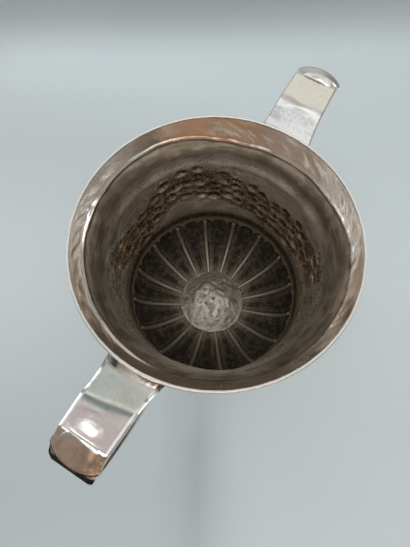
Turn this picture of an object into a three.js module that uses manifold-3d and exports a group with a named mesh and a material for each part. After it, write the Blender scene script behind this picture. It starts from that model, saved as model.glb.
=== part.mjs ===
// A two-handled silver cup on a raised foot. Millimetres, +Z up, origin on the table under the cup's axis.
// The handles lie along X. Depths are measured down from the rim, heights up from the table.

import * as THREE from 'three';
import { mergeVertices } from 'three/addons/utils/BufferGeometryUtils.js';
import Module from 'manifold-3d';

const wasm = await Module();
wasm.setup();

// Bowl
const RIM_HEIGHT = 118;
const RIM_RADIUS = 50;
const BOWL_DEPTH = 82.2;
const FLUTE_TOP_DEPTH = 60;
const LIP_OVERHANG = 12.4;
const WALL_TAPER = 0.055;
const LIP_FLARE = 8.9;
const FLARE_LENGTH = 9.8;
const BOWL_SHEET = 0.9;
const FLUTES = 16;
const FLUTE_PHASE = 14;
const ROD_HEIGHT = 1.1;
const ROD_TOP_ANGLE = 4;
const ROD_END_ANGLE = 60;
const ROD_PHASE = 60;

// Garland beaten out of the bowl's wall. A turn is the azimuth and the depth where it sags or rises most.
const GARLAND_TURNS = [[-96, 29], [-12, 41.5], [50, 30], [86, 44], [130, 30], [190, 41.5]];
const GARLAND_WIDTH = 8.5;
const GARLAND_HEIGHT = 1.15;
const GARLAND_CLUMPS = 15;
const GARLAND_CLUMPING = 0.25;
const GARLAND_REACH = 1.9;

// Reeded wire round the lip
const RIM_WIRE_WIDTH = 1.8;
const RIM_WIRE_HEIGHT = 1.2;
const REED_RADIUS = 0.42;

// Domed plate in the bottom of the bowl
const BOSS_RADIUS = 16.3;
const BOSS_CROWN_RADIUS = 8.7;
const BOSS_EDGE = 0.7;
const BOSS_RISE = 2.6;
const BOSS_CROWN_RISE = 1.1;

// Strap handles. A station is the reach beyond the rim's radius and the height above the rim plane.
const STRAP_THICKNESS = 1.9;
const STRAP_ROOT_WIDTH = 19;
const STRAP_TAIL_WIDTH = 8.5;
const STRAP_BEVEL = 0.5;
const STRAP_STEPS = 60;
const ROOT_DEPTH = 7;
const STRAP_NECK = [3.6, -3.9];
const STRAP_ELBOW = [10.6, 0.35];
const STRAP_PANEL = [16.5, 1.25];
const STRAP_BROW = [21.4, 2.05];
const STRAP_CORNER = [25.1, 1.35];
const STRAP_CHEEK = [29, -1.05];
const STRAP_EDGE = [31.4, -4.2];
const STRAP_JAW = [32.1, -7.5];
const STRAP_BOW = [33.6, -16];
const STRAP_HEEL = [32.2, -27];
const STRAP_UNDER = [24, -36];
const STRAP_RETURN = [10.5, -43];
const STRAP_ANKLE = [-3, -47.2];
const SEAT_TOP_DEPTH = 53;
const SEAT_BOTTOM_DEPTH = 59;
const TAIL_CURL = [-8.6, -65.2];
const TAIL_TIP = [-4.6, -68.4];

// Half-oval cushion on the upper corner of each strap, straight on the side of the cup
const CUSHION_WIDTH = 20.4;
const CUSHION_ROUND = 12.2;
const CUSHION_SINK = 2.85;
const CUSHION_FACE = 2.9;

// Foot. The shares are of the height from the table to the bowl's lowest point.
const STEM_RADIUS = 9.5;
const FOOT_SHEET = 1.1;
const STEM_WAIST_SHARE = 0.775;
const STEM_BASE_RADIUS = 12.5;
const STEM_BASE_SHARE = 0.6;
const DOME_TOP_RADIUS = 14;
const DOME_RADIUS = 29.5;
const DOME_SHARE = 0.575;
const DOME_FOOT_HEIGHT = 8;
const FLANGE_RADIUS = 33.6;

// Moulded ring between the bowl and the foot
const COLLAR_RADIUS = 14;
const COLLAR_HEIGHT = 5.2;
const COLLAR_ROUNDING = 1.3;

// Wire ring that the cup stands on
const BASE_RADIUS = 35;
const BASE_WIDTH = 4.2;
const BASE_SIDE_HEIGHT = 1.6;
const BASE_SHOULDER_RADIUS = 34.6;
const BASE_SHOULDER_HEIGHT = 2.6;
const BASE_TOP_RADIUS = 33.5;
const BASE_HEIGHT = 4;

// Clearance between soldered pieces
const GAP = 0.3;

// Numbers of facets
const BOWL_FACETS = 64;
const FOOT_FACETS = 48;
const WALL_STEPS = 14;
const WALL_CROWDING = 1.3;
const BELLY_STEPS = 9;
const BOSS_STEPS = 3;
const REED_STEPS = 3;
const STEM_STEPS = 3;
const MOULDING_STEPS = 5;
const CUSHION_SEGMENTS = 24;
const CUSHION_RINGS = 14;

const degrees = (angle) => (angle * Math.PI) / 180;

const POLISHED_SILVER = { color: '#d8d6d1', metalness: 1, roughness: 0.18 };
const TARNISHED_SILVER = { color: '#8c837a', metalness: 1, roughness: 0.42 };

// Shared shapes of the bowl's wall

const BELLY_RADIUS = RIM_RADIUS - LIP_OVERHANG;

function wallRadius(depth) {
  const taper = WALL_TAPER * (FLUTE_TOP_DEPTH - depth);
  return BELLY_RADIUS + taper + LIP_FLARE * Math.exp(-depth / FLARE_LENGTH);
}

function outerWallRadius(depth) {
  const slope = WALL_TAPER + (LIP_FLARE / FLARE_LENGTH) * Math.exp(-depth / FLARE_LENGTH);
  return wallRadius(depth) + BOWL_SHEET * Math.hypot(1, slope);
}

// Height of the belly's surface at a radius, where offset moves it outwards through the sheet
function bellyHeight(radius, offset) {
  const drop = BOWL_DEPTH - FLUTE_TOP_DEPTH + offset;
  const share = radius / (BELLY_RADIUS + offset);
  return RIM_HEIGHT - FLUTE_TOP_DEPTH - drop * Math.sqrt(1 - share * share);
}

// Points down one face of the bowl, from the lip to the axis, closer together near the lip
function bowlLine(radiusAt, offset, topDepth) {
  const points = [];
  for (let i = 0; i < WALL_STEPS; i += 1) {
    const share = (i / WALL_STEPS) ** WALL_CROWDING;
    const depth = THREE.MathUtils.lerp(topDepth, FLUTE_TOP_DEPTH, share);
    points.push(new THREE.Vector2(radiusAt(depth), RIM_HEIGHT - depth));
  }
  for (let i = 0; i <= BELLY_STEPS; i += 1) {
    const angle = degrees((90 * i) / BELLY_STEPS);
    const radius = i === BELLY_STEPS ? 0 : (BELLY_RADIUS + offset) * Math.cos(angle);
    points.push(new THREE.Vector2(radius, bellyHeight(radius, offset)));
  }
  return points;
}

// Solids

function lathe(profile, facets, turn = 0) {
  const geometry = new THREE.LatheGeometry(profile, facets, degrees(turn));
  geometry.rotateX(Math.PI / 2);
  return geometry;
}

function bare(geometry) {
  geometry.deleteAttribute('normal');
  geometry.deleteAttribute('uv');
  return mergeVertices(geometry, 1e-4);
}

function solid(geometry) {
  const merged = bare(geometry.index ? geometry : mergeVertices(geometry));
  const mesh = new wasm.Mesh({
    numProp: 3,
    vertProperties: new Float32Array(merged.attributes.position.array),
    triVerts: new Uint32Array(merged.index.array),
  });
  return new wasm.Manifold(mesh);
}

function geometryOf(manifold) {
  const mesh = manifold.getMesh();
  const geometry = new THREE.BufferGeometry();
  geometry.setAttribute('position', new THREE.BufferAttribute(mesh.vertProperties, 3));
  geometry.setIndex(new THREE.BufferAttribute(mesh.triVerts, 1));
  return geometry;
}

// Sideways offset of a line of points, to the left of its direction
function offsetLine(points, distance) {
  return points.map((point, i) => {
    const before = points[Math.max(0, i - 1)];
    const after = points[Math.min(points.length - 1, i + 1)];
    const along = after.clone().sub(before).normalize();
    return new THREE.Vector2(point.x - along.y * distance, point.y + along.x * distance);
  });
}

// Bowl

const LIP_DEPTH = RIM_WIRE_HEIGHT + GAP;

// Raises a rod in the middle of each flute, on both faces of the sheet alike
function raiseRods(geometry) {
  const position = geometry.attributes.position;
  const centre = new THREE.Vector3(0, 0, RIM_HEIGHT - FLUTE_TOP_DEPTH);
  const flattening = BELLY_RADIUS / (BOWL_DEPTH - FLUTE_TOP_DEPTH);
  const vertex = new THREE.Vector3();
  for (let i = 0; i < position.count; i += 1) {
    vertex.fromBufferAttribute(position, i).sub(centre);
    const radius = Math.hypot(vertex.x, vertex.y);
    const fall = THREE.MathUtils.radToDeg(Math.atan2(-vertex.z * flattening, radius));
    const azimuth = THREE.MathUtils.radToDeg(Math.atan2(vertex.y, vertex.x)) - FLUTE_PHASE;
    const onRod = Math.cos(degrees(azimuth * FLUTES)) > Math.cos(degrees(ROD_PHASE));
    if (onRod && fall > ROD_TOP_ANGLE && fall < ROD_END_ANGLE) {
      vertex.multiplyScalar(1 - ROD_HEIGHT / vertex.length());
      vertex.add(centre);
      position.setXYZ(i, vertex.x, vertex.y, vertex.z);
    }
  }
  return geometry;
}

// Depth of the garland's middle at an azimuth, eased between its turns
function garlandMiddle(azimuth) {
  const [[start, startDepth]] = GARLAND_TURNS;
  const turns = [...GARLAND_TURNS, [start + 360, startDepth]];
  const place = THREE.MathUtils.euclideanModulo(azimuth - start, 360) + start;
  const next = turns.findIndex(([turn]) => turn > place);
  const [before, after] = [turns[next - 1], turns[next]];
  return THREE.MathUtils.lerp(before[1], after[1], THREE.MathUtils.smoothstep(place, before[0], after[0]));
}

// Beats the garland outwards through the sheet, in clumps of leaves and fruit
function raiseGarland(geometry) {
  const position = geometry.attributes.position;
  for (let i = 0; i < position.count; i += 1) {
    const [x, y] = [position.getX(i), position.getY(i)];
    const depth = RIM_HEIGHT - position.getZ(i);
    const azimuth = THREE.MathUtils.radToDeg(Math.atan2(y, x));
    const off = (depth - garlandMiddle(azimuth)) / GARLAND_WIDTH;
    if (Math.abs(off) < GARLAND_REACH && depth < FLUTE_TOP_DEPTH) {
      const clump = 1 + GARLAND_CLUMPING * Math.cos(degrees(GARLAND_CLUMPS * (azimuth - GARLAND_TURNS[2][0])));
      const stretch = 1 + (GARLAND_HEIGHT * clump * Math.exp(-off * off)) / Math.hypot(x, y);
      position.setXY(i, x * stretch, y * stretch);
    }
  }
  return geometry;
}

function bowl() {
  const inside = bowlLine(wallRadius, 0, LIP_DEPTH);
  const outside = bowlLine(outerWallRadius, BOWL_SHEET, LIP_DEPTH);
  return raiseGarland(raiseRods(lathe([...outside.reverse(), ...inside], BOWL_FACETS, FLUTE_PHASE)));
}

// Space of the bowl with the soldering clearance round it
function bowlEnvelope() {
  const outside = bowlLine((depth) => outerWallRadius(depth) + GAP, BOWL_SHEET + GAP, LIP_DEPTH);
  const top = new THREE.Vector2(0, RIM_HEIGHT - LIP_DEPTH);
  return solid(raiseGarland(lathe([...outside.reverse(), top], BOWL_FACETS, FLUTE_PHASE)));
}

function rimWire() {
  const inner = RIM_RADIUS - RIM_WIRE_WIDTH;
  const bottom = RIM_HEIGHT - RIM_WIRE_HEIGHT;
  const crown = RIM_HEIGHT - REED_RADIUS;
  const profile = [new THREE.Vector2(RIM_RADIUS, bottom)];
  for (const middle of [RIM_RADIUS - REED_RADIUS, inner + REED_RADIUS]) {
    for (let i = 0; i <= REED_STEPS; i += 1) {
      const turn = (Math.PI * i) / REED_STEPS;
      const radius = middle + REED_RADIUS * Math.cos(turn);
      profile.push(new THREE.Vector2(radius, crown + REED_RADIUS * Math.sin(turn)));
    }
  }
  profile.push(new THREE.Vector2(inner, bottom), profile[0].clone());
  return lathe(profile, BOWL_FACETS, FLUTE_PHASE);
}

function centreBoss() {
  const profile = [];
  for (let i = 0; i <= BOSS_STEPS; i += 1) {
    const radius = (BOSS_RADIUS * i) / BOSS_STEPS;
    profile.push(new THREE.Vector2(radius, bellyHeight(radius, -GAP)));
  }
  const edge = bellyHeight(BOSS_RADIUS, -GAP) + BOSS_EDGE;
  profile.push(new THREE.Vector2(BOSS_RADIUS, edge));
  for (let i = 0; i <= BOSS_STEPS; i += 1) {
    const share = 1 - i / BOSS_STEPS;
    const height = edge + BOSS_RISE + BOSS_CROWN_RISE * (1 - share * share);
    profile.push(new THREE.Vector2(BOSS_CROWN_RADIUS * share, height));
  }
  return lathe(profile, FOOT_FACETS);
}

// Handles

function station([reach, height]) {
  return new THREE.Vector2(RIM_RADIUS + reach, RIM_HEIGHT + height);
}

function onWall(depth, standOff) {
  return new THREE.Vector2(outerWallRadius(depth) + standOff, RIM_HEIGHT - depth);
}

// Middle line of a strap, from its root under the lip round to its tail on the lower wall
function strapLine() {
  const standOff = STRAP_THICKNESS / 2;
  const curve = new THREE.SplineCurve([
    onWall(ROOT_DEPTH, 0),
    station(STRAP_NECK),
    station(STRAP_ELBOW),
    station(STRAP_PANEL),
    station(STRAP_BROW),
    station(STRAP_CORNER),
    station(STRAP_CHEEK),
    station(STRAP_EDGE),
    station(STRAP_JAW),
    station(STRAP_BOW),
    station(STRAP_HEEL),
    station(STRAP_UNDER),
    station(STRAP_RETURN),
    station(STRAP_ANKLE),
    onWall(SEAT_TOP_DEPTH, standOff),
    onWall(SEAT_BOTTOM_DEPTH, standOff),
    station(TAIL_CURL),
    station(TAIL_TIP),
  ]);
  return curve.getSpacedPoints(STRAP_STEPS);
}

// Extrudes an outline in the XZ plane to a width along Y, centred on the plane
function acrossY(outline, width, bevel) {
  const geometry = new THREE.ExtrudeGeometry(new THREE.Shape(outline), {
    depth: width - 2 * bevel,
    bevelEnabled: bevel > 0,
    bevelThickness: bevel,
    bevelSize: bevel,
    bevelOffset: -bevel,
    bevelSegments: 1,
  });
  geometry.translate(0, 0, bevel - width / 2);
  geometry.rotateX(Math.PI / 2);
  return geometry;
}

// Narrows a strap evenly from its root to its tail
function taper(geometry, middle) {
  const position = geometry.attributes.position;
  for (let i = 0; i < position.count; i += 1) {
    const place = new THREE.Vector2(position.getX(i), position.getZ(i));
    const distances = middle.map((point) => point.distanceToSquared(place));
    const share = distances.indexOf(Math.min(...distances)) / STRAP_STEPS;
    const width = THREE.MathUtils.lerp(STRAP_ROOT_WIDTH, STRAP_TAIL_WIDTH, share);
    position.setY(i, (position.getY(i) * width) / STRAP_ROOT_WIDTH);
  }
  return geometry;
}

function strap() {
  const middle = strapLine();
  const upper = offsetLine(middle, STRAP_THICKNESS / 2);
  const lower = offsetLine(middle, -STRAP_THICKNESS / 2);
  const outline = [...upper, ...lower.reverse()];
  const geometry = taper(acrossY(outline, STRAP_ROOT_WIDTH, STRAP_BEVEL), middle);
  return geometryOf(solid(geometry).subtract(bowlEnvelope()));
}

// Space under the strap's upper face near the corner, with the soldering clearance over it
function strapBed() {
  const upper = offsetLine(strapLine(), STRAP_THICKNESS / 2 + GAP);
  const from = station(STRAP_ELBOW).x;
  const until = station(STRAP_BOW).y;
  const overCorner = upper.filter((point) => point.x > from && point.y > until);
  const floor = overCorner[overCorner.length - 1];
  const inner = new THREE.Vector2(overCorner[0].x, floor.y);
  return solid(acrossY([...overCorner, inner], 2 * STRAP_ROOT_WIDTH, 0));
}

function thumbRest() {
  const corner = station(STRAP_CORNER);
  const cushion = new THREE.SphereGeometry(1, CUSHION_SEGMENTS, CUSHION_RINGS);
  cushion.scale(CUSHION_ROUND / 2, CUSHION_WIDTH / 2, CUSHION_ROUND / 2);
  cushion.translate(corner.x, 0, corner.y - CUSHION_SINK);
  const cutter = new THREE.BoxGeometry(CUSHION_WIDTH, 2 * CUSHION_WIDTH, 2 * CUSHION_WIDTH);
  cutter.translate(corner.x - CUSHION_FACE - CUSHION_WIDTH / 2, 0, corner.y);
  return geometryOf(solid(cushion).subtract(solid(cutter)).subtract(strapBed()));
}

// Foot

function stemCollar() {
  const inner = STEM_RADIUS + GAP;
  const seat = (radius) => bellyHeight(radius, BOWL_SHEET + GAP);
  const shoulder = COLLAR_RADIUS - COLLAR_ROUNDING;
  const bottom = seat(shoulder) - COLLAR_HEIGHT;
  const profile = [new THREE.Vector2(inner, seat(inner)), new THREE.Vector2(inner, bottom)];
  for (let i = 0; i <= MOULDING_STEPS; i += 1) {
    const turn = Math.PI * (i / MOULDING_STEPS - 1 / 2);
    const radius = shoulder + COLLAR_ROUNDING * Math.cos(turn);
    profile.push(new THREE.Vector2(radius, bottom + (COLLAR_HEIGHT / 2) * (1 + Math.sin(turn))));
  }
  profile.push(profile[0].clone());
  return lathe(profile, FOOT_FACETS);
}

function foot() {
  const rise = bellyHeight(0, BOWL_SHEET);
  const waist = new THREE.QuadraticBezierCurve(
    new THREE.Vector2(STEM_RADIUS, STEM_WAIST_SHARE * rise),
    new THREE.Vector2(STEM_RADIUS, STEM_BASE_SHARE * rise),
    new THREE.Vector2(STEM_BASE_RADIUS, STEM_BASE_SHARE * rise),
  );
  const outside = [new THREE.Vector2(STEM_RADIUS, bellyHeight(STEM_RADIUS, BOWL_SHEET + GAP))];
  outside.push(...waist.getPoints(STEM_STEPS));
  for (let i = 0; i <= MOULDING_STEPS; i += 1) {
    const turn = (Math.PI / 2) * (1 - i / MOULDING_STEPS);
    const radius = DOME_TOP_RADIUS + (DOME_RADIUS - DOME_TOP_RADIUS) * Math.cos(turn);
    const height = DOME_FOOT_HEIGHT + (DOME_SHARE * rise - DOME_FOOT_HEIGHT) * Math.sin(turn);
    outside.push(new THREE.Vector2(radius, height));
  }
  const ledge = BASE_HEIGHT + GAP + FOOT_SHEET;
  outside.push(new THREE.Vector2(DOME_RADIUS + FOOT_SHEET, ledge), new THREE.Vector2(FLANGE_RADIUS, ledge));
  const inside = offsetLine(outside, -FOOT_SHEET);
  inside[0].y = bellyHeight(inside[0].x, BOWL_SHEET + GAP);
  inside[inside.length - 1].x = FLANGE_RADIUS;
  return lathe([...outside.reverse(), ...inside, outside[0].clone()], FOOT_FACETS);
}

function footRing() {
  const inner = BASE_RADIUS - BASE_WIDTH;
  const profile = [
    new THREE.Vector2(inner, 0),
    new THREE.Vector2(BASE_RADIUS, 0),
    new THREE.Vector2(BASE_RADIUS, BASE_SIDE_HEIGHT),
    new THREE.Vector2(BASE_SHOULDER_RADIUS, BASE_SHOULDER_HEIGHT),
    new THREE.Vector2(BASE_TOP_RADIUS, BASE_HEIGHT),
    new THREE.Vector2(inner, BASE_HEIGHT),
    new THREE.Vector2(inner, 0),
  ];
  return lathe(profile, FOOT_FACETS);
}

// Assembly

function piece(name, geometry, finish) {
  const closed = bare(geometry.index ? geometry : mergeVertices(geometry));
  closed.computeVertexNormals();
  const mesh = new THREE.Mesh(closed, new THREE.MeshStandardMaterial(finish));
  mesh.name = name;
  return mesh;
}

const cup = new THREE.Group();
cup.add(
  piece('bowl', bowl(), TARNISHED_SILVER),
  piece('rim_wire', rimWire(), POLISHED_SILVER),
  piece('centre_boss', centreBoss(), TARNISHED_SILVER),
  piece('stem_collar', stemCollar(), POLISHED_SILVER),
  piece('foot', foot(), POLISHED_SILVER),
  piece('foot_ring', footRing(), POLISHED_SILVER),
);

for (const [side, turn] of [['right', 0], ['left', 180]]) {
  const handle = new THREE.Group();
  handle.add(
    piece(`handle_${side}`, strap(), POLISHED_SILVER),
    piece(`thumb_rest_${side}`, thumbRest(), POLISHED_SILVER),
  );
  handle.rotation.z = degrees(turn);
  cup.add(handle);
}

export default cup;
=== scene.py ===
"""A two-handled silver wedding cup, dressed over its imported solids.

Sizes in the classes are millimetres. Depths are measured down from the plane of the rim, and azimuths
anticlockwise from the right handle. Meshes are made in metres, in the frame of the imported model.
"""

import logging
import math
from dataclasses import dataclass
from enum import Enum
from typing import Any, Sequence

import bmesh
import bpy
import numpy as np
from mathutils import Matrix, Vector


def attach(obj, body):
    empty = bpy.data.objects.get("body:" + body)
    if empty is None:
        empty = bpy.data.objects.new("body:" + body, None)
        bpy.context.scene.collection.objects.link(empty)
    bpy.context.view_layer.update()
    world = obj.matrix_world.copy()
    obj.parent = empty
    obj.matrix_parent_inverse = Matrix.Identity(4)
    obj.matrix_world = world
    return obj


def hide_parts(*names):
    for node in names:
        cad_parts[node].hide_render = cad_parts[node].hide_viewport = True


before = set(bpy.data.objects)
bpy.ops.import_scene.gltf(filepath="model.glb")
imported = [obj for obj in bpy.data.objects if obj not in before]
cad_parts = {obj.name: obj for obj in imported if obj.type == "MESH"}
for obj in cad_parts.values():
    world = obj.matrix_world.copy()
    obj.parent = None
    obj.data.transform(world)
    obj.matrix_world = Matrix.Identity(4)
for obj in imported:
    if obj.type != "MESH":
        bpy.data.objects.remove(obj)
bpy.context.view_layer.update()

MM = 0.001
TAU = 2 * math.pi
RIM_HEIGHT = 118.0
FLUTES = 16
FLUTE_PHASE = 14.0
FLUTE_WIDTH = 360 / FLUTES

# Kinds of values

Array = np.ndarray
Marks = dict[str, np.ndarray]
Colour = tuple[float, float, float]
Place = tuple[float, float, float]
Points = tuple[tuple[float, float], ...]
Socket = bpy.types.NodeSocket
Material = bpy.types.Material
Piece = bpy.types.Object

log = logging.getLogger("wedding_cup")


class Side(Enum):
    """The two handles, with the turn about the cup's axis that takes the right one there."""

    RIGHT = 0.0
    LEFT = 180.0


# Shared mathematics


def smooth_step(value: Array, low: float, high: float) -> Array:
    """An even rise from 0 to 1 as the value goes from low to high."""
    share = np.clip((value - low) / (high - low), 0.0, 1.0)
    return share * share * (3 - 2 * share)


def bell(value: Array, width: float) -> Array:
    """A soft hump of height 1 about zero."""
    return np.exp(-((value / width) ** 2))


def unevenness(u: Array, v: Array, columns: int, seed: int) -> Array:
    """Smooth random relief between -1 and 1 over a plane of unit cells.

    Args:
        u: Position along the first direction, in cells, which repeats after the given columns.
        v: Position along the second direction, in cells.
        columns: Number of cells after which the relief repeats along u.
        seed: Seed of the random heights.

    Returns:
        The relief at each position, in the shape of u and v together.
    """
    rows = 128
    heights = np.random.default_rng(seed).uniform(-1, 1, (rows, columns))
    u, v = np.broadcast_arrays(u, v)
    column = np.floor(u).astype(int)
    row = np.floor(v).astype(int)
    fu = smooth_step(u - column, 0, 1)
    fv = smooth_step(v - row, 0, 1)
    corner = [heights[(row + i) % rows, (column + j) % columns] for i in (0, 1) for j in (0, 1)]
    upper = corner[0] * (1 - fu) + corner[1] * fu
    lower = corner[2] * (1 - fu) + corner[3] * fu
    return upper * (1 - fv) + lower * fv


@dataclass(frozen=True)
class Ripple:
    """Smooth random relief round the cup.

    The depth is in millimetres, and the columns are the random heights round the cup. The spacing is
    the distance between heights along the wall. A relief of one line takes its heights at the row.
    """

    depth: float
    columns: int
    seed: int
    spacing: float = 1.0
    row: float = 0.5

    def at(self, azimuths: Array, lengths: Array | None = None) -> Array:
        """The relief at azimuths in degrees, and at lengths along the wall unless it is a line's."""
        rows = self.row if lengths is None else lengths / self.spacing
        return self.depth * unevenness(azimuths / 360 * self.columns, rows, self.columns, self.seed)


def azimuths_of(steps: int) -> Array:
    """Evenly spaced azimuths in degrees."""
    return np.arange(steps) * 360 / steps


def apart(azimuths: Array, middle: float) -> Array:
    """How far the azimuths lie from a middle one, from -180 to 180 degrees."""
    return (azimuths - middle + 180) % 360 - 180


def from_rod(azimuths: Array) -> Array:
    """How far the azimuths lie from the nearest rod of the flutes in degrees, as one row."""
    return np.abs((azimuths - FLUTE_PHASE + FLUTE_WIDTH / 2) % FLUTE_WIDTH - FLUTE_WIDTH / 2)[None, :]


def lengths(points: Array) -> Array:
    """Length along a line of points, from the first one to each."""
    return np.concatenate([[0], np.cumsum(np.hypot(*np.diff(points, axis=0).T))])


def directions(points: Array) -> Array:
    """Unit vectors along a line of points."""
    along = np.gradient(points, axis=0)
    return along / np.linalg.norm(along, axis=1, keepdims=True)


def toward(azimuth: float, elevation: float) -> Place:
    """Unit vector in a direction given in degrees."""
    turn, rise = math.radians(azimuth), math.radians(elevation)
    return math.cos(turn) * math.cos(rise), math.sin(turn) * math.cos(rise), math.sin(rise)


# Shared mesh making


def woven(rows: int, columns: int, first: int = 0, ring: bool = False) -> Array:
    """Quads over a grid of points whose columns close round.

    Args:
        rows: Number of rows of points.
        columns: Number of points in a row.
        first: Index of the first point.
        ring: True if the last row joins the first one.

    Returns:
        Indices of the corners, four to a face.
    """
    row = np.arange(rows if ring else rows - 1)[:, None]
    column = np.arange(columns)[None, :]
    below = (row + 1) % rows
    beside = (column + 1) % columns
    here, there = row * columns, below * columns
    quads = [here + column, here + beside, there + beside, there + column]
    return np.stack(np.broadcast_arrays(*quads), -1).reshape(-1, 4) + first


def revolved(radii: Array, heights: Array, azimuths: Array) -> Array:
    """Points of a surface round the cup's axis.

    Args:
        radii: Radii, a row for each ring and a column for each azimuth.
        heights: Heights above the table, in the same form.
        azimuths: Azimuths in degrees.

    Returns:
        The points, as rows of x, y and z.
    """
    turn = np.radians(azimuths)[None, :]
    shape = np.broadcast_shapes(radii.shape, heights.shape, turn.shape)
    x = np.broadcast_to(radii * np.cos(turn), shape)
    y = np.broadcast_to(radii * np.sin(turn), shape)
    z = np.broadcast_to(heights, shape)
    return np.stack([x, y, z], -1).reshape(-1, 3)


def piece_from(
    name: str, points: Array, faces: Array, crease: float = 180.0, marks: Marks | None = None
) -> Piece:
    """Makes a smooth-shaded object.

    Args:
        name: Name of the object.
        points: Points in millimetres.
        faces: Corners of the faces.
        crease: Angle in degrees from which an edge stays sharp.
        marks: Values at the points that the materials read, by name.

    Returns:
        The object, linked to the scene.
    """
    mesh = bpy.data.meshes.new(name)
    mesh.from_pydata((points * MM).tolist(), [], faces.tolist())
    mesh.polygons.foreach_set("use_smooth", np.ones(len(mesh.polygons), bool))
    for mark, values in (marks or {}).items():
        attribute = mesh.attributes.new(mark, "FLOAT", "POINT")
        attribute.data.foreach_set("value", np.asarray(values, np.float32).ravel())
    mesh.update()
    if crease < 180:
        mesh.set_sharp_from_angle(angle=math.radians(crease))
    piece = bpy.data.objects.new(name, mesh)
    bpy.context.scene.collection.objects.link(piece)
    return piece


def settle(piece: Piece, node: str, slot: str, *materials: Material) -> Piece:
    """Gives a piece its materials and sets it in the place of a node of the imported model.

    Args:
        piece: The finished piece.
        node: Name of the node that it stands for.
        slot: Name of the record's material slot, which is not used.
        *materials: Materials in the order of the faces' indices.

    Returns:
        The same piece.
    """
    for material in materials:
        piece.data.materials.append(material)
    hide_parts(node)
    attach(piece, "root")
    log.info("%s stands for %s: %d faces", piece.name, node, len(piece.data.polygons))
    return piece


# Finishes


class Recipe:
    """The nodes of one material, added one after another."""

    def __init__(self, name: str) -> None:
        """Starts a material with its shader and the piece's own coordinates."""
        self.material = bpy.data.materials.new(name)
        self.material.use_nodes = True
        self.tree = self.material.node_tree
        self.shader = self.tree.nodes["Principled BSDF"]
        self.place = self.tree.nodes.new("ShaderNodeTexCoord").outputs["Object"]

    def put(self, socket: Socket, value: Any) -> None:
        """Links a socket to another one, or sets its value, with a fourth number for a colour.

        Args:
            socket: The socket.
            value: The other socket, or the value.
        """
        if isinstance(value, Socket):
            self.tree.links.new(value, socket)
        else:
            socket.default_value = (*value, 1.0) if socket.type == "RGBA" else value

    def node(self, kind: str, values: dict[str | int, Any], **options: Any) -> bpy.types.Node:
        """Adds a node.

        Args:
            kind: Kind of the node, without the words that all kinds start with.
            values: Value or socket for each input that is set, by name or number.
            **options: The node's own settings.

        Returns:
            The node.
        """
        node = self.tree.nodes.new(f"ShaderNode{kind}")
        for option, setting in options.items():
            setattr(node, option, setting)
        for place, value in values.items():
            self.put(node.inputs[place], value)
        return node

    def noise(self, size: float, detail: float = 3.0, stretch: Sequence[float] = (1, 1, 1)) -> Socket:
        """Cloudy variation between 0 and 1.

        Args:
            size: Width of a cloud in millimetres.
            detail: Number of finer layers.
            stretch: Factors on the coordinates.

        Returns:
            The socket with the value.
        """
        scaled = self.node("Mapping", {"Vector": self.place, "Scale": stretch}).outputs["Vector"]
        values = {"Vector": scaled, "Scale": 1 / (size * MM), "Detail": detail}
        return self.node("TexNoise", values).outputs["Fac"]

    def facets(self, size: float) -> Socket:
        """Rounded cells like the marks of a planishing hammer, a cell of the given millimetres."""
        values = {"Vector": self.place, "Scale": 1 / (size * MM), "Smoothness": 0.6}
        return self.node("TexVoronoi", values, feature="SMOOTH_F1").outputs["Distance"]

    def height(self) -> Socket:
        """Height above the table in metres."""
        return self.node("SeparateXYZ", {"Vector": self.place}).outputs["Z"]

    def mark(self, name: str) -> Socket:
        """A value that the mesh holds at its points."""
        return self.node("Attribute", {}, attribute_name=name).outputs["Fac"]

    def sum(self, first: Any, second: Any, factor: float | Socket = 1.0) -> Socket:
        """The first value plus the second one times a factor."""
        return self.node("Math", {0: second, 1: factor, 2: first}, operation="MULTIPLY_ADD").outputs["Value"]

    def product(self, first: Any, second: Any) -> Socket:
        """The product of two values."""
        return self.node("Math", {0: first, 1: second}, operation="MULTIPLY").outputs["Value"]

    def spread(self, value: Socket, low: float, high: float, first: float = 0.0, last: float = 1.0) -> Socket:
        """Maps a range of values to another one.

        Args:
            value: The value that is mapped.
            low: Where the first result starts.
            high: Where the last result is reached.
            first: Result at low and beyond it.
            last: Result at high and beyond it.

        Returns:
            The socket with the result.
        """
        values = {"Value": value, "From Min": low, "From Max": high, "To Min": first, "To Max": last}
        return self.node("MapRange", values, interpolation_type="SMOOTHSTEP").outputs["Result"]

    def blend(self, share: Any, first: Any, second: Any) -> Socket:
        """A colour between two others, the first one at a share of 0."""
        return self.node("Mix", {0: share, 6: first, 7: second}, data_type="RGBA").outputs[2]

    def relief(self, height: Socket, depth: float, under: Socket | None = None) -> Socket:
        """A fine relief in the surface.

        Args:
            height: Heights between 0 and 1.
            depth: Depth of the relief in millimetres.
            under: Normal of a coarser relief under this one.

        Returns:
            The socket with the normal.
        """
        coarser = {} if under is None else {"Normal": under}
        return self.node("Bump", {"Distance": depth * MM, "Height": height, **coarser}).outputs["Normal"]

    def finish(self, **sockets: Any) -> Material:
        """Sets the shader's sockets, named with underscores for blanks, and gives the material.

        Args:
            **sockets: Value or socket for each of the shader's own.

        Returns:
            The material.
        """
        for name, value in sockets.items():
            self.put(self.shader.inputs[name.replace("_", " ")], value)
        return self.material


class SkyRecipe(Recipe):
    """The nodes of the world's light."""

    def __init__(self, name: str) -> None:
        """Starts a world, which becomes the scene's own."""
        world = bpy.data.worlds.new(name)
        world.use_nodes = True
        bpy.context.scene.world = world
        self.tree = world.node_tree
        self.place = self.tree.nodes.new("ShaderNodeTexCoord").outputs["Generated"]


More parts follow.
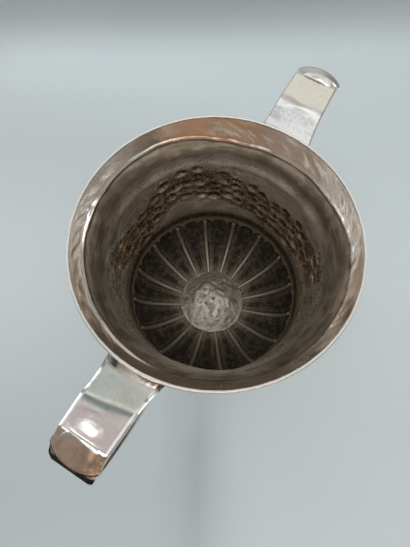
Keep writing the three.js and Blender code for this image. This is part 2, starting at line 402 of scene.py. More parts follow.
@dataclass(frozen=True)
class PolishedSilver:
    """Silver that is kept bright by hand, with planishing marks, fine scratches and a little warm bloom."""

    name: str
    tint: Colour = (0.93, 0.915, 0.89)
    bloom: Colour = (0.80, 0.745, 0.68)
    smoothest: float = 0.09
    roughest: float = 0.24
    hammer_size: float = 5.0
    hammer_depth: float = 0.035
    scratch_depth: float = 0.004
    grime_and_shade: Colour = (0.20, 0.135, 0.095)

    def material(self) -> Material:
        """Makes the material.

        Returns:
            The material.
        """
        recipe = Recipe(self.name)
        clouds = recipe.noise(14.0, 4.0)
        fine = recipe.noise(1.1, 3.0)
        dull = recipe.sum(recipe.product(clouds, 0.7), fine, 0.3)
        clean = recipe.blend(recipe.spread(dull, 0.50, 0.72), self.tint, self.bloom)
        # This mark darkens toward the brown: painted shadow on the straps' roots under the rim, a darker
        # groove in the rim wire, and on the bowl's outside the inside's dirt and painted shade.
        dirt_and_shade = recipe.mark("dirt_and_shade")
        soiled_and_shaded = recipe.sum(dirt_and_shade, recipe.spread(fine, 0.35, 0.65, -0.3, 0.3), dirt_and_shade)
        colour = recipe.blend(recipe.spread(soiled_and_shaded, 0.1, 0.9, 0.0, 0.92), clean, self.grime_and_shade)
        even = recipe.spread(dull, 0.36, 0.66, self.smoothest, self.roughest)
        rough = recipe.sum(even, recipe.mark("frost"), 0.10)
        hammered = recipe.relief(recipe.facets(self.hammer_size), self.hammer_depth)
        scratched = recipe.relief(recipe.noise(0.35, 2.0, (1.0, 0.25, 1.0)), self.scratch_depth, hammered)
        return recipe.finish(Base_Color=colour, Metallic=1.0, Roughness=rough, Normal=scratched)


@dataclass(frozen=True)
class BowlSilver:
    """The inside of the bowl: polished at the lip, dull grey on the wall, brown and dark in the bottom."""

    name: str = "bowl_inside_silver"
    lip: Colour = (0.90, 0.87, 0.83)
    wall: Colour = (0.92, 0.855, 0.755)
    stain_and_dark_reflection: Colour = (0.58, 0.515, 0.43)
    bottom: Colour = (0.42, 0.37, 0.305)
    crust_and_shade: Colour = (0.060, 0.036, 0.022)
    petal: Colour = (0.050, 0.042, 0.035)
    patina: Colour = (0.16, 0.135, 0.11)
    golden_wear_and_highlight: Colour = (0.66, 0.49, 0.325)
    worn: Colour = (0.43, 0.37, 0.30)
    painted_warm_reflection: Colour = (0.82, 0.59, 0.42)

    def material(self) -> Material:
        """Makes the material.

        Returns:
            The material.
        """
        recipe = Recipe(self.name)
        cloud = recipe.noise(9.0, 5.0)
        grain = recipe.noise(0.8, 3.0)
        depth = recipe.sum(recipe.height(), cloud, 0.006)
        down = recipe.mark("dull")
        deep = recipe.spread(depth, 0.079, 0.064)
        # Stains along the wall, with painted reflection bands on its far side.
        stains_and_reflections = recipe.sum(recipe.noise(7.0, 5.0), recipe.mark("stain_and_reflection"), 0.22)
        wall = recipe.blend(recipe.spread(stains_and_reflections, 0.36, 0.64), self.wall, self.stain_and_dark_reflection)
        # Painted warm reflection in patches on the far part of the lip.
        lip = recipe.blend(recipe.mark("painted_warm_reflection"), self.lip, self.painted_warm_reflection)
        plain = recipe.blend(deep, recipe.blend(down, lip, wall), self.bottom)
        low = recipe.spread(recipe.height(), 0.062, 0.057)
        mottled = recipe.blend(recipe.spread(recipe.noise(2.4, 5.0), 0.42, 0.70), self.petal, self.patina)
        grime_and_shade = recipe.blend(low, self.crust_and_shade, mottled)
        # Patina in the petals, and brown crust in the garland with painted shade on each fruit's upper half.
        dirt_and_shade = recipe.sum(recipe.mark("dirt_and_shade"), recipe.spread(grain, 0.35, 0.65, -0.5, 0.5), 0.35)
        stained_and_shaded = recipe.blend(recipe.spread(dirt_and_shade, 0.15, 0.80, 0.0, 0.95), plain, grime_and_shade)
        # Wear on the flute lines and midribs, and painted highlight on the lower rims of the garland's fruit.
        wear_and_highlight = recipe.sum(recipe.mark("worn"), recipe.spread(grain, 0.35, 0.65, -0.5, 0.5), 0.2)
        crest_and_highlight = recipe.blend(low, self.golden_wear_and_highlight, self.worn)
        colour = recipe.blend(recipe.spread(wear_and_highlight, 0.2, 0.9, 0.0, 0.85), stained_and_shaded, crest_and_highlight)
        patched = recipe.sum(cloud, grain, 0.4)
        polish = recipe.sum(recipe.product(down, 0.75), recipe.spread(depth, 0.1125, 0.101), 0.25)
        dulled = recipe.spread(patched, 0.5, 0.95)
        even = recipe.sum(recipe.spread(polish, 0.0, 1.0, 0.17, 0.34), dulled, 0.12)
        rough = recipe.sum(recipe.sum(even, recipe.mark("dirt_and_shade"), 0.28), low, 0.14)
        hammered = recipe.relief(recipe.facets(4.2), 0.05)
        pitted = recipe.relief(grain, 0.03, hammered)
        return recipe.finish(Base_Color=colour, Metallic=1.0, Roughness=rough, Normal=pitted)


@dataclass(frozen=True)
class BossSilver:
    """The dull, pitted plate in the bottom, lighter on its crown."""

    name: str = "boss_silver"
    worn: Colour = (0.74, 0.72, 0.68)
    dull: Colour = (0.55, 0.52, 0.47)
    border: Colour = (0.50, 0.46, 0.395)
    pit: Colour = (0.28, 0.24, 0.20)

    def material(self) -> Material:
        """Makes the material.

        Returns:
            The material.
        """
        recipe = Recipe(self.name)
        cloud = recipe.noise(3.0, 5.0)
        grain = recipe.noise(0.5, 4.0)
        plain = recipe.blend(recipe.spread(cloud, 0.38, 0.62), self.dull, self.worn)
        zoned = recipe.blend(recipe.mark("crown"), self.border, plain)
        pits = recipe.sum(recipe.mark("relief"), grain, 0.3)
        colour = recipe.blend(recipe.spread(pits, 0.2, 0.5, 0.0, 0.85), zoned, self.pit)
        rough = recipe.spread(grain, 0.3, 0.7, 0.46, 0.62)
        pitted = recipe.relief(recipe.noise(1.4, 5.0), 0.26)
        grained = recipe.relief(grain, 0.03, pitted)
        return recipe.finish(Base_Color=colour, Metallic=1.0, Roughness=rough, Normal=grained)


# The cup


@dataclass
class Rim:
    """The lip's line: not quite round, not quite level, and nicked by use."""

    bulge: float = 0.65
    bulge_azimuth: float = 168.0
    bulge_spread: float = 42.0
    waviness: Ripple = Ripple(0.08, 11, 5)
    dip: Ripple = Ripple(0.14, 9, 6, row=3.5)

    def outward(self, azimuths: Array) -> Array:
        """How far the line stands outside its circle at the azimuths."""
        swelling = self.bulge * bell(apart(azimuths, self.bulge_azimuth), self.bulge_spread)
        return swelling - self.waviness.depth - self.waviness.at(azimuths)

    def down(self, azimuths: Array) -> Array:
        """How far the line lies under its plane at the azimuths."""
        return self.dip.depth + self.dip.at(azimuths)


@dataclass
class Bowl:
    """The raised shell: flared lip, tapered wall with a chased garland, and a belly of sixteen flutes."""

    rim: Rim
    belly_radius: float = 37.6
    belly_top: float = 60.0
    depth: float = 82.2
    wall_taper: float = 0.055
    lip_flare: float = 8.9
    flare_length: float = 9.8
    sheet: float = 0.9
    lip_top: float = 0.55
    lip_inset: float = 0.45
    widest: float = 49.7
    crease_turns: Points = (
        (0.0, 8.4), (18.0, 9.0), (32.0, 8.2), (45.0, 6.8), (60.0, 6.0), (125.0, 6.0), (200.0, 5.6),
        (260.0, 5.0), (300.0, 5.2), (320.0, 7.3), (340.0, 7.9),
    )
    crease_waves: tuple[Ripple, ...] = (Ripple(0.30, 34, 15), Ripple(0.22, 70, 16, row=2.5))
    ridge_height: float = 0.36
    ridge_waves: Ripple = Ripple(0.14, 40, 17, row=4.5)
    planishing: tuple[Ripple, ...] = (Ripple(0.07, 70, 11, 3.6), Ripple(0.10, 30, 12, 9.0))
    swelling: Ripple = Ripple(0.20, 15, 13, 14.0)
    matting: Ripple = Ripple(0.12, 420, 14, 0.75)
    lip_marks: tuple[Ripple, ...] = (Ripple(0.075, 110, 18, 2.4), Ripple(0.045, 230, 19, 1.3))
    broad_stains: Ripple = Ripple(0.6, 46, 24, 1.3)
    fine_stains: Ripple = Ripple(0.6, 90, 25, 0.8)
    warm_reflection_patches: Ripple = Ripple(1.1, 44, 26, 3.2)
    samples_per_flute: int = 40
    wall_rows: int = 132
    belly_rows: int = 104
    garland_turns: Points = (
        (-96.0, 29.0), (-12.0, 41.5), (50.0, 30.0), (86.0, 44.0), (130.0, 30.0), (190.0, 41.5),
    )
    rod_width: float = 1.0
    line_width: float = 0.20
    petal_joint: float = 5.6
    petal_dish: float = 0.5
    petal_lines: Points = ((4.8, 1.0), (6.9, 1.0), (8.4, 0.5))
    channel_dish: float = 0.10
    arch_height: float = 2.7
    garland_width: float = 10.0
    garland_swell: float = 0.55
    clumps: int = 15
    fruit_span: tuple[float, float] = (-64.0, 118.0)
    fruit_spacing: float = 8.6
    fruit_length: float = 3.0
    fruit_width: float = 2.6
    fruit_depth: float = 1.3
    fruit_rows: Points = ((-8.8, 0.65), (-4.4, 0.95), (0.0, 1.0), (4.4, 0.97), (8.6, 0.75))
    leaf_spacing: float = 0.34
    wreath_middle: tuple[float, float] = (90.0, 31.5)
    wreath_size: tuple[float, float] = (16.5, 10.5)
    wreath_spacing: float = 0.13

    def inner_radius(self, depth: Array) -> Array:
        """Radius of the wall's inner face at a depth."""
        flare = self.lip_flare * np.exp(-depth / self.flare_length)
        return self.belly_radius + self.wall_taper * (self.belly_top - depth) + flare

    def outer_radius(self, depth: float) -> float:
        """Radius of the wall's outer face at a depth."""
        slope = self.wall_taper + self.lip_flare / self.flare_length * math.exp(-depth / self.flare_length)
        return float(self.inner_radius(np.asarray(depth))) + self.sheet * math.hypot(1, slope)

    def belly_height(self, radius: float, offset: float = 0.0) -> float:
        """Height above the table of the belly at a radius, moved outwards by the offset.

        Args:
            radius: Distance from the axis.
            offset: Distance from the inner face, outwards.

        Returns:
            The height in millimetres.
        """
        share = radius / (self.belly_radius + offset)
        fall = (self.depth - self.belly_top + offset) * math.sqrt(1 - share * share)
        return RIM_HEIGHT - self.belly_top - fall

    def line(self, wall_rows: int, belly_rows: int) -> Marks:
        """The inner face's line from the lip to the axis.

        Args:
            wall_rows: Number of points on the wall.
            belly_rows: Number of points on the belly.

        Returns:
            Radius, height, the two parts of the outward normal, and the length along the line from the lip.
        """
        share = np.linspace(0, 1, wall_rows, endpoint=False)
        depth = self.lip_top + (self.belly_top - self.lip_top) * share**1.15
        slope = -self.wall_taper - self.lip_flare / self.flare_length * np.exp(-depth / self.flare_length)
        wall = np.column_stack([self.inner_radius(depth), -depth, np.ones_like(depth), slope])
        fall = np.radians(np.linspace(0, 89.85, belly_rows))
        long, short = self.belly_radius, self.depth - self.belly_top
        out, down = np.cos(fall), np.sin(fall)
        belly = np.column_stack([long * out, -self.belly_top - short * down, out / long, -down / short])
        both = np.vstack([wall, belly])
        normal = both[:, 2:] / np.linalg.norm(both[:, 2:], axis=1, keepdims=True)
        found = {"radius": both[:, 0], "height": both[:, 1], "length": lengths(both[:, :2])}
        return {**found, "out": normal[:, 0], "up": normal[:, 1]}

    def azimuths(self, samples: int) -> Array:
        """Azimuths round the bowl, closer together at the rods and at the lines beside them.

        Args:
            samples: Number of azimuths in each flute.

        Returns:
            The azimuths in degrees.
        """
        fine = np.linspace(-FLUTE_WIDTH / 2, FLUTE_WIDTH / 2, 2001)
        density = 1 + 2.2 * bell(np.abs(fine) - 1.2, 0.9) + 3.4 * bell(np.abs(fine) - 5.7, 1.1)
        total = np.concatenate([[0], np.cumsum((density[1:] + density[:-1]) / 2)])
        within = np.interp(np.arange(samples) / samples, total / total[-1], fine)
        return np.concatenate([FLUTE_PHASE + FLUTE_WIDTH * k + within for k in range(FLUTES)])

    def flute_relief(self, azimuths: Array, below: Array, radius: Array) -> tuple[Array, Array, Array]:
        """Relief of the fluted belly, outwards from the bowl's inside.

        Args:
            azimuths: Azimuths in degrees.
            below: Distance along the belly's line from its top.
            radius: Radius of the belly at each distance.

        Returns:
            The relief in millimetres, and how much of each place is petal and is raised line.
        """
        phase = from_rod(azimuths)
        below = below[:, None]
        arc = math.radians(1) * np.maximum(radius, 6)[:, None]
        joint = self.petal_joint
        petal = np.clip((FLUTE_WIDTH / 2 - phase) / (FLUTE_WIDTH / 2 - joint), 0, 1)
        channel = np.clip(phase / joint, 0, 1)
        in_petal = phase > joint
        arch = np.where(in_petal, petal, channel)
        top = 0.9 + self.arch_height * (1 - np.sqrt(1 - arch**2 + 1e-6))
        slope = self.arch_height * arch / np.sqrt(1 - arch**2 + 0.02) / 3.6
        past = (below - top) / np.hypot(1, slope)
        inside = smooth_step(past, 0.0, 0.5)
        dish = self.petal_dish * (1 - petal**4) * in_petal + self.channel_dish * (1 - channel**2) * ~in_petal
        rod = np.sqrt(np.clip(1 - (phase * arc / self.rod_width) ** 2, 0, 1)) * smooth_step(below, 1.7, 3.0)
        lines = sum(share * bell((phase - place) * arc, self.line_width) for place, share in self.petal_lines)
        outline = bell(past, 0.26)
        head = np.hypot(phase * arc, below - 2.6)
        dot = bell(np.hypot((phase - joint) * arc, below - 1.15) - 0.55, 0.24)
        waist = 0.35 + 0.65 * smooth_step(-below, -26, -8)
        knob = np.sqrt(np.clip(1 - (head / 0.95) ** 2, 0, 1))
        move = inside * (dish * waist - 0.95 * rod - 0.24 * lines) - 0.5 * knob - 0.32 * outline - 0.28 * dot
        petals = inside * (in_petal + 0.75 * ~in_petal) * (1 - rod)
        bright = 0.55 + 0.45 * smooth_step(below, 6, 26)
        raised = inside * bright * (0.9 * rod + 0.85 * lines) + 0.6 * knob + 0.6 * outline + 0.5 * dot
        return move, petals, np.clip(raised, 0, 1)

    def garland_middle(self, azimuths: Array) -> Array:
        """Depth of the garland's middle, which sags and rises between its turning points.

        Args:
            azimuths: Azimuths in degrees.

        Returns:
            The depths.
        """
        first = self.garland_turns[0]
        turns = np.array([*self.garland_turns, (first[0] + 360, first[1])])
        place = (azimuths - first[0]) % 360 + first[0]
        index = np.clip(np.searchsorted(turns[:, 0], place, side="right") - 1, 0, len(turns) - 2)
        share = (place - turns[index, 0]) / (turns[index + 1, 0] - turns[index, 0])
        return turns[index, 1] + (turns[index + 1, 1] - turns[index, 1]) * smooth_step(share, 0, 1)

    def garland_at(self, azimuth: float) -> tuple[float, float]:
        """Depth of the garland's middle at an azimuth, and the angle at which the garland climbs there."""
        middle, ahead = self.garland_middle(np.array([azimuth, azimuth + 1.0]))
        return middle, math.atan((ahead - middle) / self.degree())

    def degree(self) -> float:
        """Length of one degree round the wall."""
        return math.radians(1) * (self.belly_radius + 1)

    def leaves(self) -> list[tuple[float, float, float, float, float, float]]:
        """Places the garland's fruit and leaves.

        Returns:
            Azimuth, depth, half length, half width, tilt in radians, and depth of relief of each.
        """
        rng = np.random.default_rng(41)
        arc = self.degree()
        placed = []
        for number, step in enumerate(np.arange(*self.fruit_span, self.fruit_spacing)):
            middle, climb = self.garland_at(step)
            for row, share in self.fruit_rows:
                if rng.random() > share:
                    continue
                shift = (number % 2) * 2.0 + 0.5 * row / arc * math.sin(climb)
                azimuth = step + rng.uniform(-0.9, 0.9) + shift
                depth = middle + row + rng.uniform(-0.9, 0.9)
                grow = rng.uniform(0.8, 1.12)
                sink = self.fruit_depth * rng.uniform(0.7, 1.15) * grow
                width = self.fruit_width * rng.uniform(0.8, 1.05) * grow
                tilt = climb + rng.normal(0, 0.25)
                placed.append((azimuth, depth, self.fruit_length * grow, width, tilt, sink))
        for step in np.arange(0, 360, self.leaf_spacing):
            middle, climb = self.garland_at(step)
            spread = 13 if self.fruit_span[0] < apart(step, 0) < self.fruit_span[1] else 17
            depth = np.clip(middle + rng.uniform(-spread, spread), 20, 57)
            tilt = climb + rng.choice([-1, 1]) * rng.uniform(0.2, 1.0)
            length, width, sink = rng.uniform(1.4, 2.6), rng.uniform(0.45, 0.8), rng.uniform(0.3, 0.6)
            placed.append((step, depth, length, width, tilt, sink))
        for turn in np.arange(0, TAU, self.wreath_spacing):
            azimuth = self.wreath_middle[0] + self.wreath_size[0] * math.cos(turn)
            depth = self.wreath_middle[1] + self.wreath_size[1] * math.sin(turn)
            placed.append((azimuth, depth, 1.7, 0.6, turn + rng.choice([1.0, 2.1]), 0.45))
        return placed

    def fruit_relief(self, azimuths: Array, depths: Array) -> tuple[Array, Array, Array]:
        """Relief of the garland's fruit and leaves, outwards from the bowl's inside.

        Args:
            azimuths: Azimuths in degrees.
            depths: Depths of the rows.

        Returns:
            The relief in millimetres, where grime and painted shade lie, and where crests are worn or carry
            painted highlight, a row for each depth.
        """
        shape = (len(depths), len(azimuths))
        relief, grime_and_shade, crests_and_highlights = np.zeros(shape), np.zeros(shape), np.zeros(shape)
        arc = self.degree()
        for azimuth, depth, length, width, tilt, sink in self.leaves():
            reach = max(length, width) * 1.35
            rows = np.nonzero(np.abs(depths - depth) < reach)[0]
            off = apart(azimuths, azimuth)
            columns = np.nonzero(np.abs(off) * arc < reach)[0]
            if len(rows) == 0 or len(columns) == 0:
                continue
            x = off[columns][None, :] * arc
            y = (depths[rows] - depth)[:, None]
            along = (x * math.cos(tilt) + y * math.sin(tilt)) / length
            across = (-x * math.sin(tilt) + y * math.cos(tilt)) / width
            reached = np.hypot(along, across)
            inside = np.clip(1 - reached**2, 0, 1)
            block = np.ix_(rows, columns)
            relief[block] = np.maximum(relief[block], inside**0.6 * sink)
            if width > 1.2:
                # Each fruit's upper half gets painted shade and its lower rim painted highlight; leaves get
                # worn midribs.
                upper = smooth_step(-y / width, -0.55, 0.35)
                grime_and_shade[block] = np.maximum(grime_and_shade[block], np.sqrt(inside) * (0.62 + 0.6 * upper))
                wear_and_highlight = bell(reached - 1.0, 0.17) * (0.35 + 0.75 * (1 - upper))
                crests_and_highlights[block] = np.maximum(crests_and_highlights[block], wear_and_highlight)
            else:
                crests_and_highlights[block] = np.maximum(crests_and_highlights[block], bell(across, 0.45) * (along**2 < 0.9) * 0.75)
        return relief, grime_and_shade, crests_and_highlights

    def garland_relief(self, azimuths: Array, depths: Array) -> Marks:
        """Relief of the chased garland, outwards from the bowl's inside.

        Args:
            azimuths: Azimuths in degrees.
            depths: Depths of the rows.

        Returns:
            The move in millimetres, the cover of the garland, its dirt with painted shade, and its wear with
            painted highlight, a row for each depth.
        """
        off = depths[:, None] - self.garland_middle(azimuths)[None, :]
        cover = bell(off, self.garland_width)
        clumped = 1 + 0.25 * np.cos(np.radians(azimuths - 50) * self.clumps)[None, :]
        within = smooth_step(depths, 18, 22)[:, None] * smooth_step(-depths, -58, -54)[:, None]
        fruit, grime_and_shade, crests_and_highlights = self.fruit_relief(azimuths, depths)
        fruited = bell(np.maximum(np.abs(apart(azimuths, 27)) - 84, 0), 9)[None, :]
        ground = (0.36 + 0.28 * fruited) * smooth_step(cover, 0.10, 0.55)
        return {
            "move": within * (self.garland_swell * cover * clumped + fruit),
            "cover": within * cover,
            "dirt_and_shade": within * np.maximum(ground, grime_and_shade),
            "worn": within * crests_and_highlights,
        }

    def crease(self, azimuths: Array) -> Array:
        """Depth of the wavy crease under the hammered lip.

        Args:
            azimuths: Azimuths in degrees.

        Returns:
            The depths.
        """
        turns = np.array(self.crease_turns)
        even = np.interp(azimuths % 360, turns[:, 0], turns[:, 1], period=360)
        return even + sum(wave.at(azimuths) for wave in self.crease_waves)

    def lip_relief(self, azimuths: Array, depths: Array) -> Array:
        """The hammered lip: a straight cone from the rim to the crease.

        Args:
            azimuths: Azimuths in degrees.
            depths: Depths of the rows.

        Returns:
            The outward move in millimetres, less than nothing where the cone stands inside the line.
        """
        crease = self.crease(azimuths)[None, :]
        depth = depths[:, None]
        top = self.inner_radius(np.asarray(0.0)) - self.lip_inset
        share = np.clip(depth / crease, 0, 1)
        cone = top + (self.inner_radius(crease) - top) * share
        return (cone - self.inner_radius(depth)) * (depth < crease)

    def ridge(self, azimuths: Array, past: Array) -> Array:
        """The raised edge along the crease, weakest on the near side.

        Args:
            azimuths: Azimuths in degrees.
            past: How far each place lies under the crease.

        Returns:
            The outward move in millimetres.
        """
        strong = self.ridge_height + self.ridge_waves.at(azimuths)[None, :]
        strong *= 1 - 0.85 * smooth_step(np.cos(np.radians(azimuths - 250)), 0.0, 0.75)[None, :]
        return -strong * bell(past + 0.25, 0.55)

    def hammering(self, turn: Array, down: Array, cover: Array) -> Array:
        """Hammer marks of the whole sheet and the matted ground of the garland.

        Args:
            turn: Azimuths as a row.
            down: Lengths along the wall as a column.
            cover: Cover of the garland.

        Returns:
            The outward move in millimetres.
        """
        planished = sum(marks.at(turn, down) for marks in self.planishing)
        on_wall = smooth_step(down, 3, 9) * smooth_step(-down, -52, -40)
        matted = self.matting.at(turn, down) * np.clip(cover * 1.6, 0, 1)
        return planished + self.swelling.at(turn, down) * on_wall + matted

    def lip_hammering(self, turn: Array, down: Array) -> Array:
        """Closer hammer marks of the lip, deepest where the photo shows them.

        Args:
            turn: Azimuths as a row.
            down: Lengths along the wall as a column.

        Returns:
            The outward move in millimetres.
        """
        beaten = sum(marks.at(turn + 1.6 * down, down) for marks in self.lip_marks)
        off = apart(turn, 0)
        deep = 0.3 + 0.9 * bell(off - 112, 28) + 0.7 * bell(off + 40, 32) + 1.0 * bell(off - 22, 9)
        return beaten * deep * smooth_step(down, 0.8, 2.2)

    def stains_and_reflections(self, turn: Array, down: Array, far_side: Array) -> Array:
        """Lighter and darker stains that run along the wall, and on the far side painted reflection bands.

        Args:
            turn: Azimuths as a row.
            down: Lengths along the wall as a column.
            far_side: 1 on the side away from the camera.

        Returns:
            The stains and painted reflection bands, dark above nothing.
        """
        stains = self.broad_stains.at(turn + 2 * down, down) + self.fine_stains.at(turn - 3 * down, down)
        # Painted reflection bands on the far side: a dark band and a lighter one below it.
        reflection_bands = 0.9 * bell(down - 13.8, 1.5) - 1.5 * bell(down - 19.0, 2.0)
        return stains - 0.6 * bell(down - 26, 9) + far_side * reflection_bands

    def relief(self, azimuths: Array, line: Marks) -> Marks:
        """The whole relief of the sheet.

        Args:
            azimuths: Azimuths in degrees.
            line: The inner face's line.

        Returns:
            The outward move in millimetres, and the marks that the finish reads: dirt with painted shade,
            wear with painted highlight, dull, stains with painted reflection bands, and painted warm
            reflection. Each has a row for each point of the line.
        """
        depths, length = -line["height"], line["length"]
        top = np.interp(self.belly_top, depths, length)
        turn, down = azimuths[None, :], length[:, None]
        chased = self.garland_relief(azimuths, depths)
        move, worn = chased["move"], chased["worn"]
        # Darker band just above the flutes.
        dirt_and_shade = np.maximum(chased["dirt_and_shade"], 0.72 * bell(down - top + 3.4, 3.6))
        fluted = np.nonzero(depths > self.belly_top - 3)[0]
        flutes, petal, lines = self.flute_relief(azimuths, length[fluted] - top, line["radius"][fluted])
        near_boss = 0.5 * smooth_step(-line["radius"][fluted], -24, -16)[:, None]
        move[fluted] += flutes
        dirt_and_shade[fluted] = np.maximum(dirt_and_shade[fluted], petal * (1 - near_boss))
        worn[fluted] = np.maximum(worn[fluted] * (1 - petal), lines)
        far_side = smooth_step(np.cos(np.radians(azimuths - 32)), 0.0, 0.5)[None, :]
        # Painted dark reflection band on the far wall.
        dirt_and_shade = np.maximum(dirt_and_shade, 0.30 * far_side * bell(down - 18.5, 2.2))
        past = depths[:, None] - self.crease(azimuths)[None, :]
        dull = smooth_step(past, -0.4, 1.0)
        move += self.hammering(turn, down, chased["cover"]) + self.lip_relief(azimuths, depths)
        move += far_side * 0.30 * (bell(down - 18, 2.0) - bell(down - 22.5, 2.0))
        move += self.rim.outward(azimuths)[None, :] * np.exp(-down / 16)
        move += self.ridge(azimuths, past) + self.lip_hammering(turn, down) * (1 - dull)
        # Painted warm reflection in patches on the far part of the lip.
        patches = np.clip(0.45 + self.warm_reflection_patches.at(turn + 1.5 * down, down), 0, 1)
        painted_warm_reflection = (1 - dull) * bell(apart(turn, 0) - 40, 36) * patches
        stain_and_reflection = self.stains_and_reflections(turn, down, far_side)
        return {"move": move, "dirt_and_shade": dirt_and_shade, "worn": worn, "dull": dull, "stain_and_reflection": stain_and_reflection, "painted_warm_reflection": painted_warm_reflection}

    def face(self, offset: float, samples: int, wall_rows: int, belly_rows: int) -> tuple[Array, Marks]:
        """Points of one face of the sheet.

        Args:
            offset: Distance from the inner face, outwards.
            samples: Number of azimuths in each flute.
            wall_rows: Number of rows on the wall.
            belly_rows: Number of rows on the belly.

        Returns:
            The points, and the marks that the finish reads at each.
        """
        line = self.line(wall_rows, belly_rows)
        azimuths = self.azimuths(samples)
        found = self.relief(azimuths, line)
        fade = smooth_step(line["radius"], 4, 12)[:, None]
        move = offset + found.pop("move") * fade
        radii = line["radius"][:, None] + line["out"][:, None] * move
        radii = np.minimum(radii, self.widest + self.rim.outward(azimuths)[None, :])
        lowered = self.rim.down(azimuths)[None, :] * np.exp(-line["length"] / 12)[:, None]
        heights = RIM_HEIGHT + line["height"][:, None] + line["up"][:, None] * move - lowered
        points = revolved(np.maximum(radii, 0.05), heights, azimuths)
        return points, {name: (values * fade).ravel() for name, values in found.items()}

    def build(self) -> Piece:
        """Makes the shell, its inner face finer than its outer one.

        Returns:
            The piece.
        """
        samples, wall, belly = self.samples_per_flute, self.wall_rows, self.belly_rows
        inner, marks = self.face(0.0, samples, wall, belly)
        outer, outer_marks = self.face(self.sheet, samples // 2, wall * 2 // 3, belly // 2)
        inner_faces = woven(wall + belly, samples * FLUTES)[:, ::-1]
        outer_faces = woven(wall * 2 // 3 + belly // 2, samples // 2 * FLUTES, len(inner))
        marks = {name: np.concatenate([values, outer_marks[name]]) for name, values in marks.items()}
        faces = np.vstack([inner_faces, outer_faces])
        piece = piece_from("bowl_shell", np.vstack([inner, outer]), faces, marks=marks)
        side = np.repeat([0, 1], [len(inner_faces), len(outer_faces)])
        piece.data.polygons.foreach_set("material_index", side)
        return piece

    def dress(self) -> None:
        """Builds the shell and gives it its two finishes."""
        outside = PolishedSilver("bowl_outside_silver", hammer_size=4.5, hammer_depth=0.04)
        settle(self.build(), "bowl", "tarnished_silver", BowlSilver().material(), outside.material())


@dataclass
class RimWire:
    """The reeded wire round the lip: a leaning bead and a round with a groove between, nicked by use."""

    rim: Rim
    radius: float = 49.82
    bead: float = 0.36
    bead_rise: float = 0.15
    bead_lean: float = 0.26
    bead_inset: float = 0.71
    groove_inset: float = 0.34
    groove_width: float = 0.09
    wire: float = 0.40
    wire_drop: float = 0.58
    height: float = 1.25
    sunk: float = 0.06
    nicks: tuple[Ripple, ...] = (Ripple(0.05, 210, 21), Ripple(0.05, 90, 22, row=2.5))
    tilt: Ripple = Ripple(0.08, 24, 23, row=4.5)
    steps: int = 960

    def outline(self) -> Array:
        """The wire's section: distance in from its outer side, and height under its top.

        Returns:
            The points, a row for each.
        """
        outside, inside = np.radians(np.linspace(-10, 115, 8)), np.radians(np.linspace(-5, 190, 11))
        wire = self.wire * np.column_stack([1 - np.cos(outside), np.sin(outside) - 1]) - (0, self.wire_drop)
        lean = self.bead_lean * self.bead * (1 - np.cos(inside))
        rise = self.bead_rise * (np.sin(inside) - 1) - lean
        bead = np.column_stack([self.bead_inset - self.bead * np.cos(inside), rise])
        ends = [(0.2, -self.height), (self.bead_inset + self.bead - 0.05, -self.height)]
        return np.vstack([ends[:1], wire, bead, ends[1:]])

    def build(self) -> Piece:
        """Makes the wire.

        Returns:
            The piece.
        """
        azimuths = azimuths_of(self.steps)
        inset, below = np.hsplit(self.outline(), 2)
        nicks = sum(nick.at(azimuths) for nick in self.nicks)
        tilt = self.tilt.at(azimuths)
        radii = self.radius - inset + self.rim.outward(azimuths) + nicks
        heights = below - self.sunk - self.rim.down(azimuths) + 0.7 * nicks + tilt * (inset - self.bead_inset)
        points = revolved(radii, RIM_HEIGHT + np.minimum(heights, 0), azimuths)
        # Darker in the groove between the bead and the round.
        marks = {"dirt_and_shade": 0.60 * bell(inset - self.groove_inset, self.groove_width) + 0 * radii}
        faces = woven(len(inset), self.steps, ring=True)[:, ::-1]
        return piece_from("rim_reeding", points, faces, crease=50, marks=marks)

    def dress(self) -> None:
        """Builds the wire and polishes it."""
        bright = {"tint": (1.0, 1.0, 0.98), "bloom": (0.98, 0.95, 0.91), "grime_and_shade": (0.55, 0.38, 0.33)}
        finish = PolishedSilver(
            "rim_silver", smoothest=0.34, roughest=0.46, hammer_size=2.4, hammer_depth=0.03, **bright
        )
        settle(self.build(), "rim_wire", "polished_silver", finish.material())


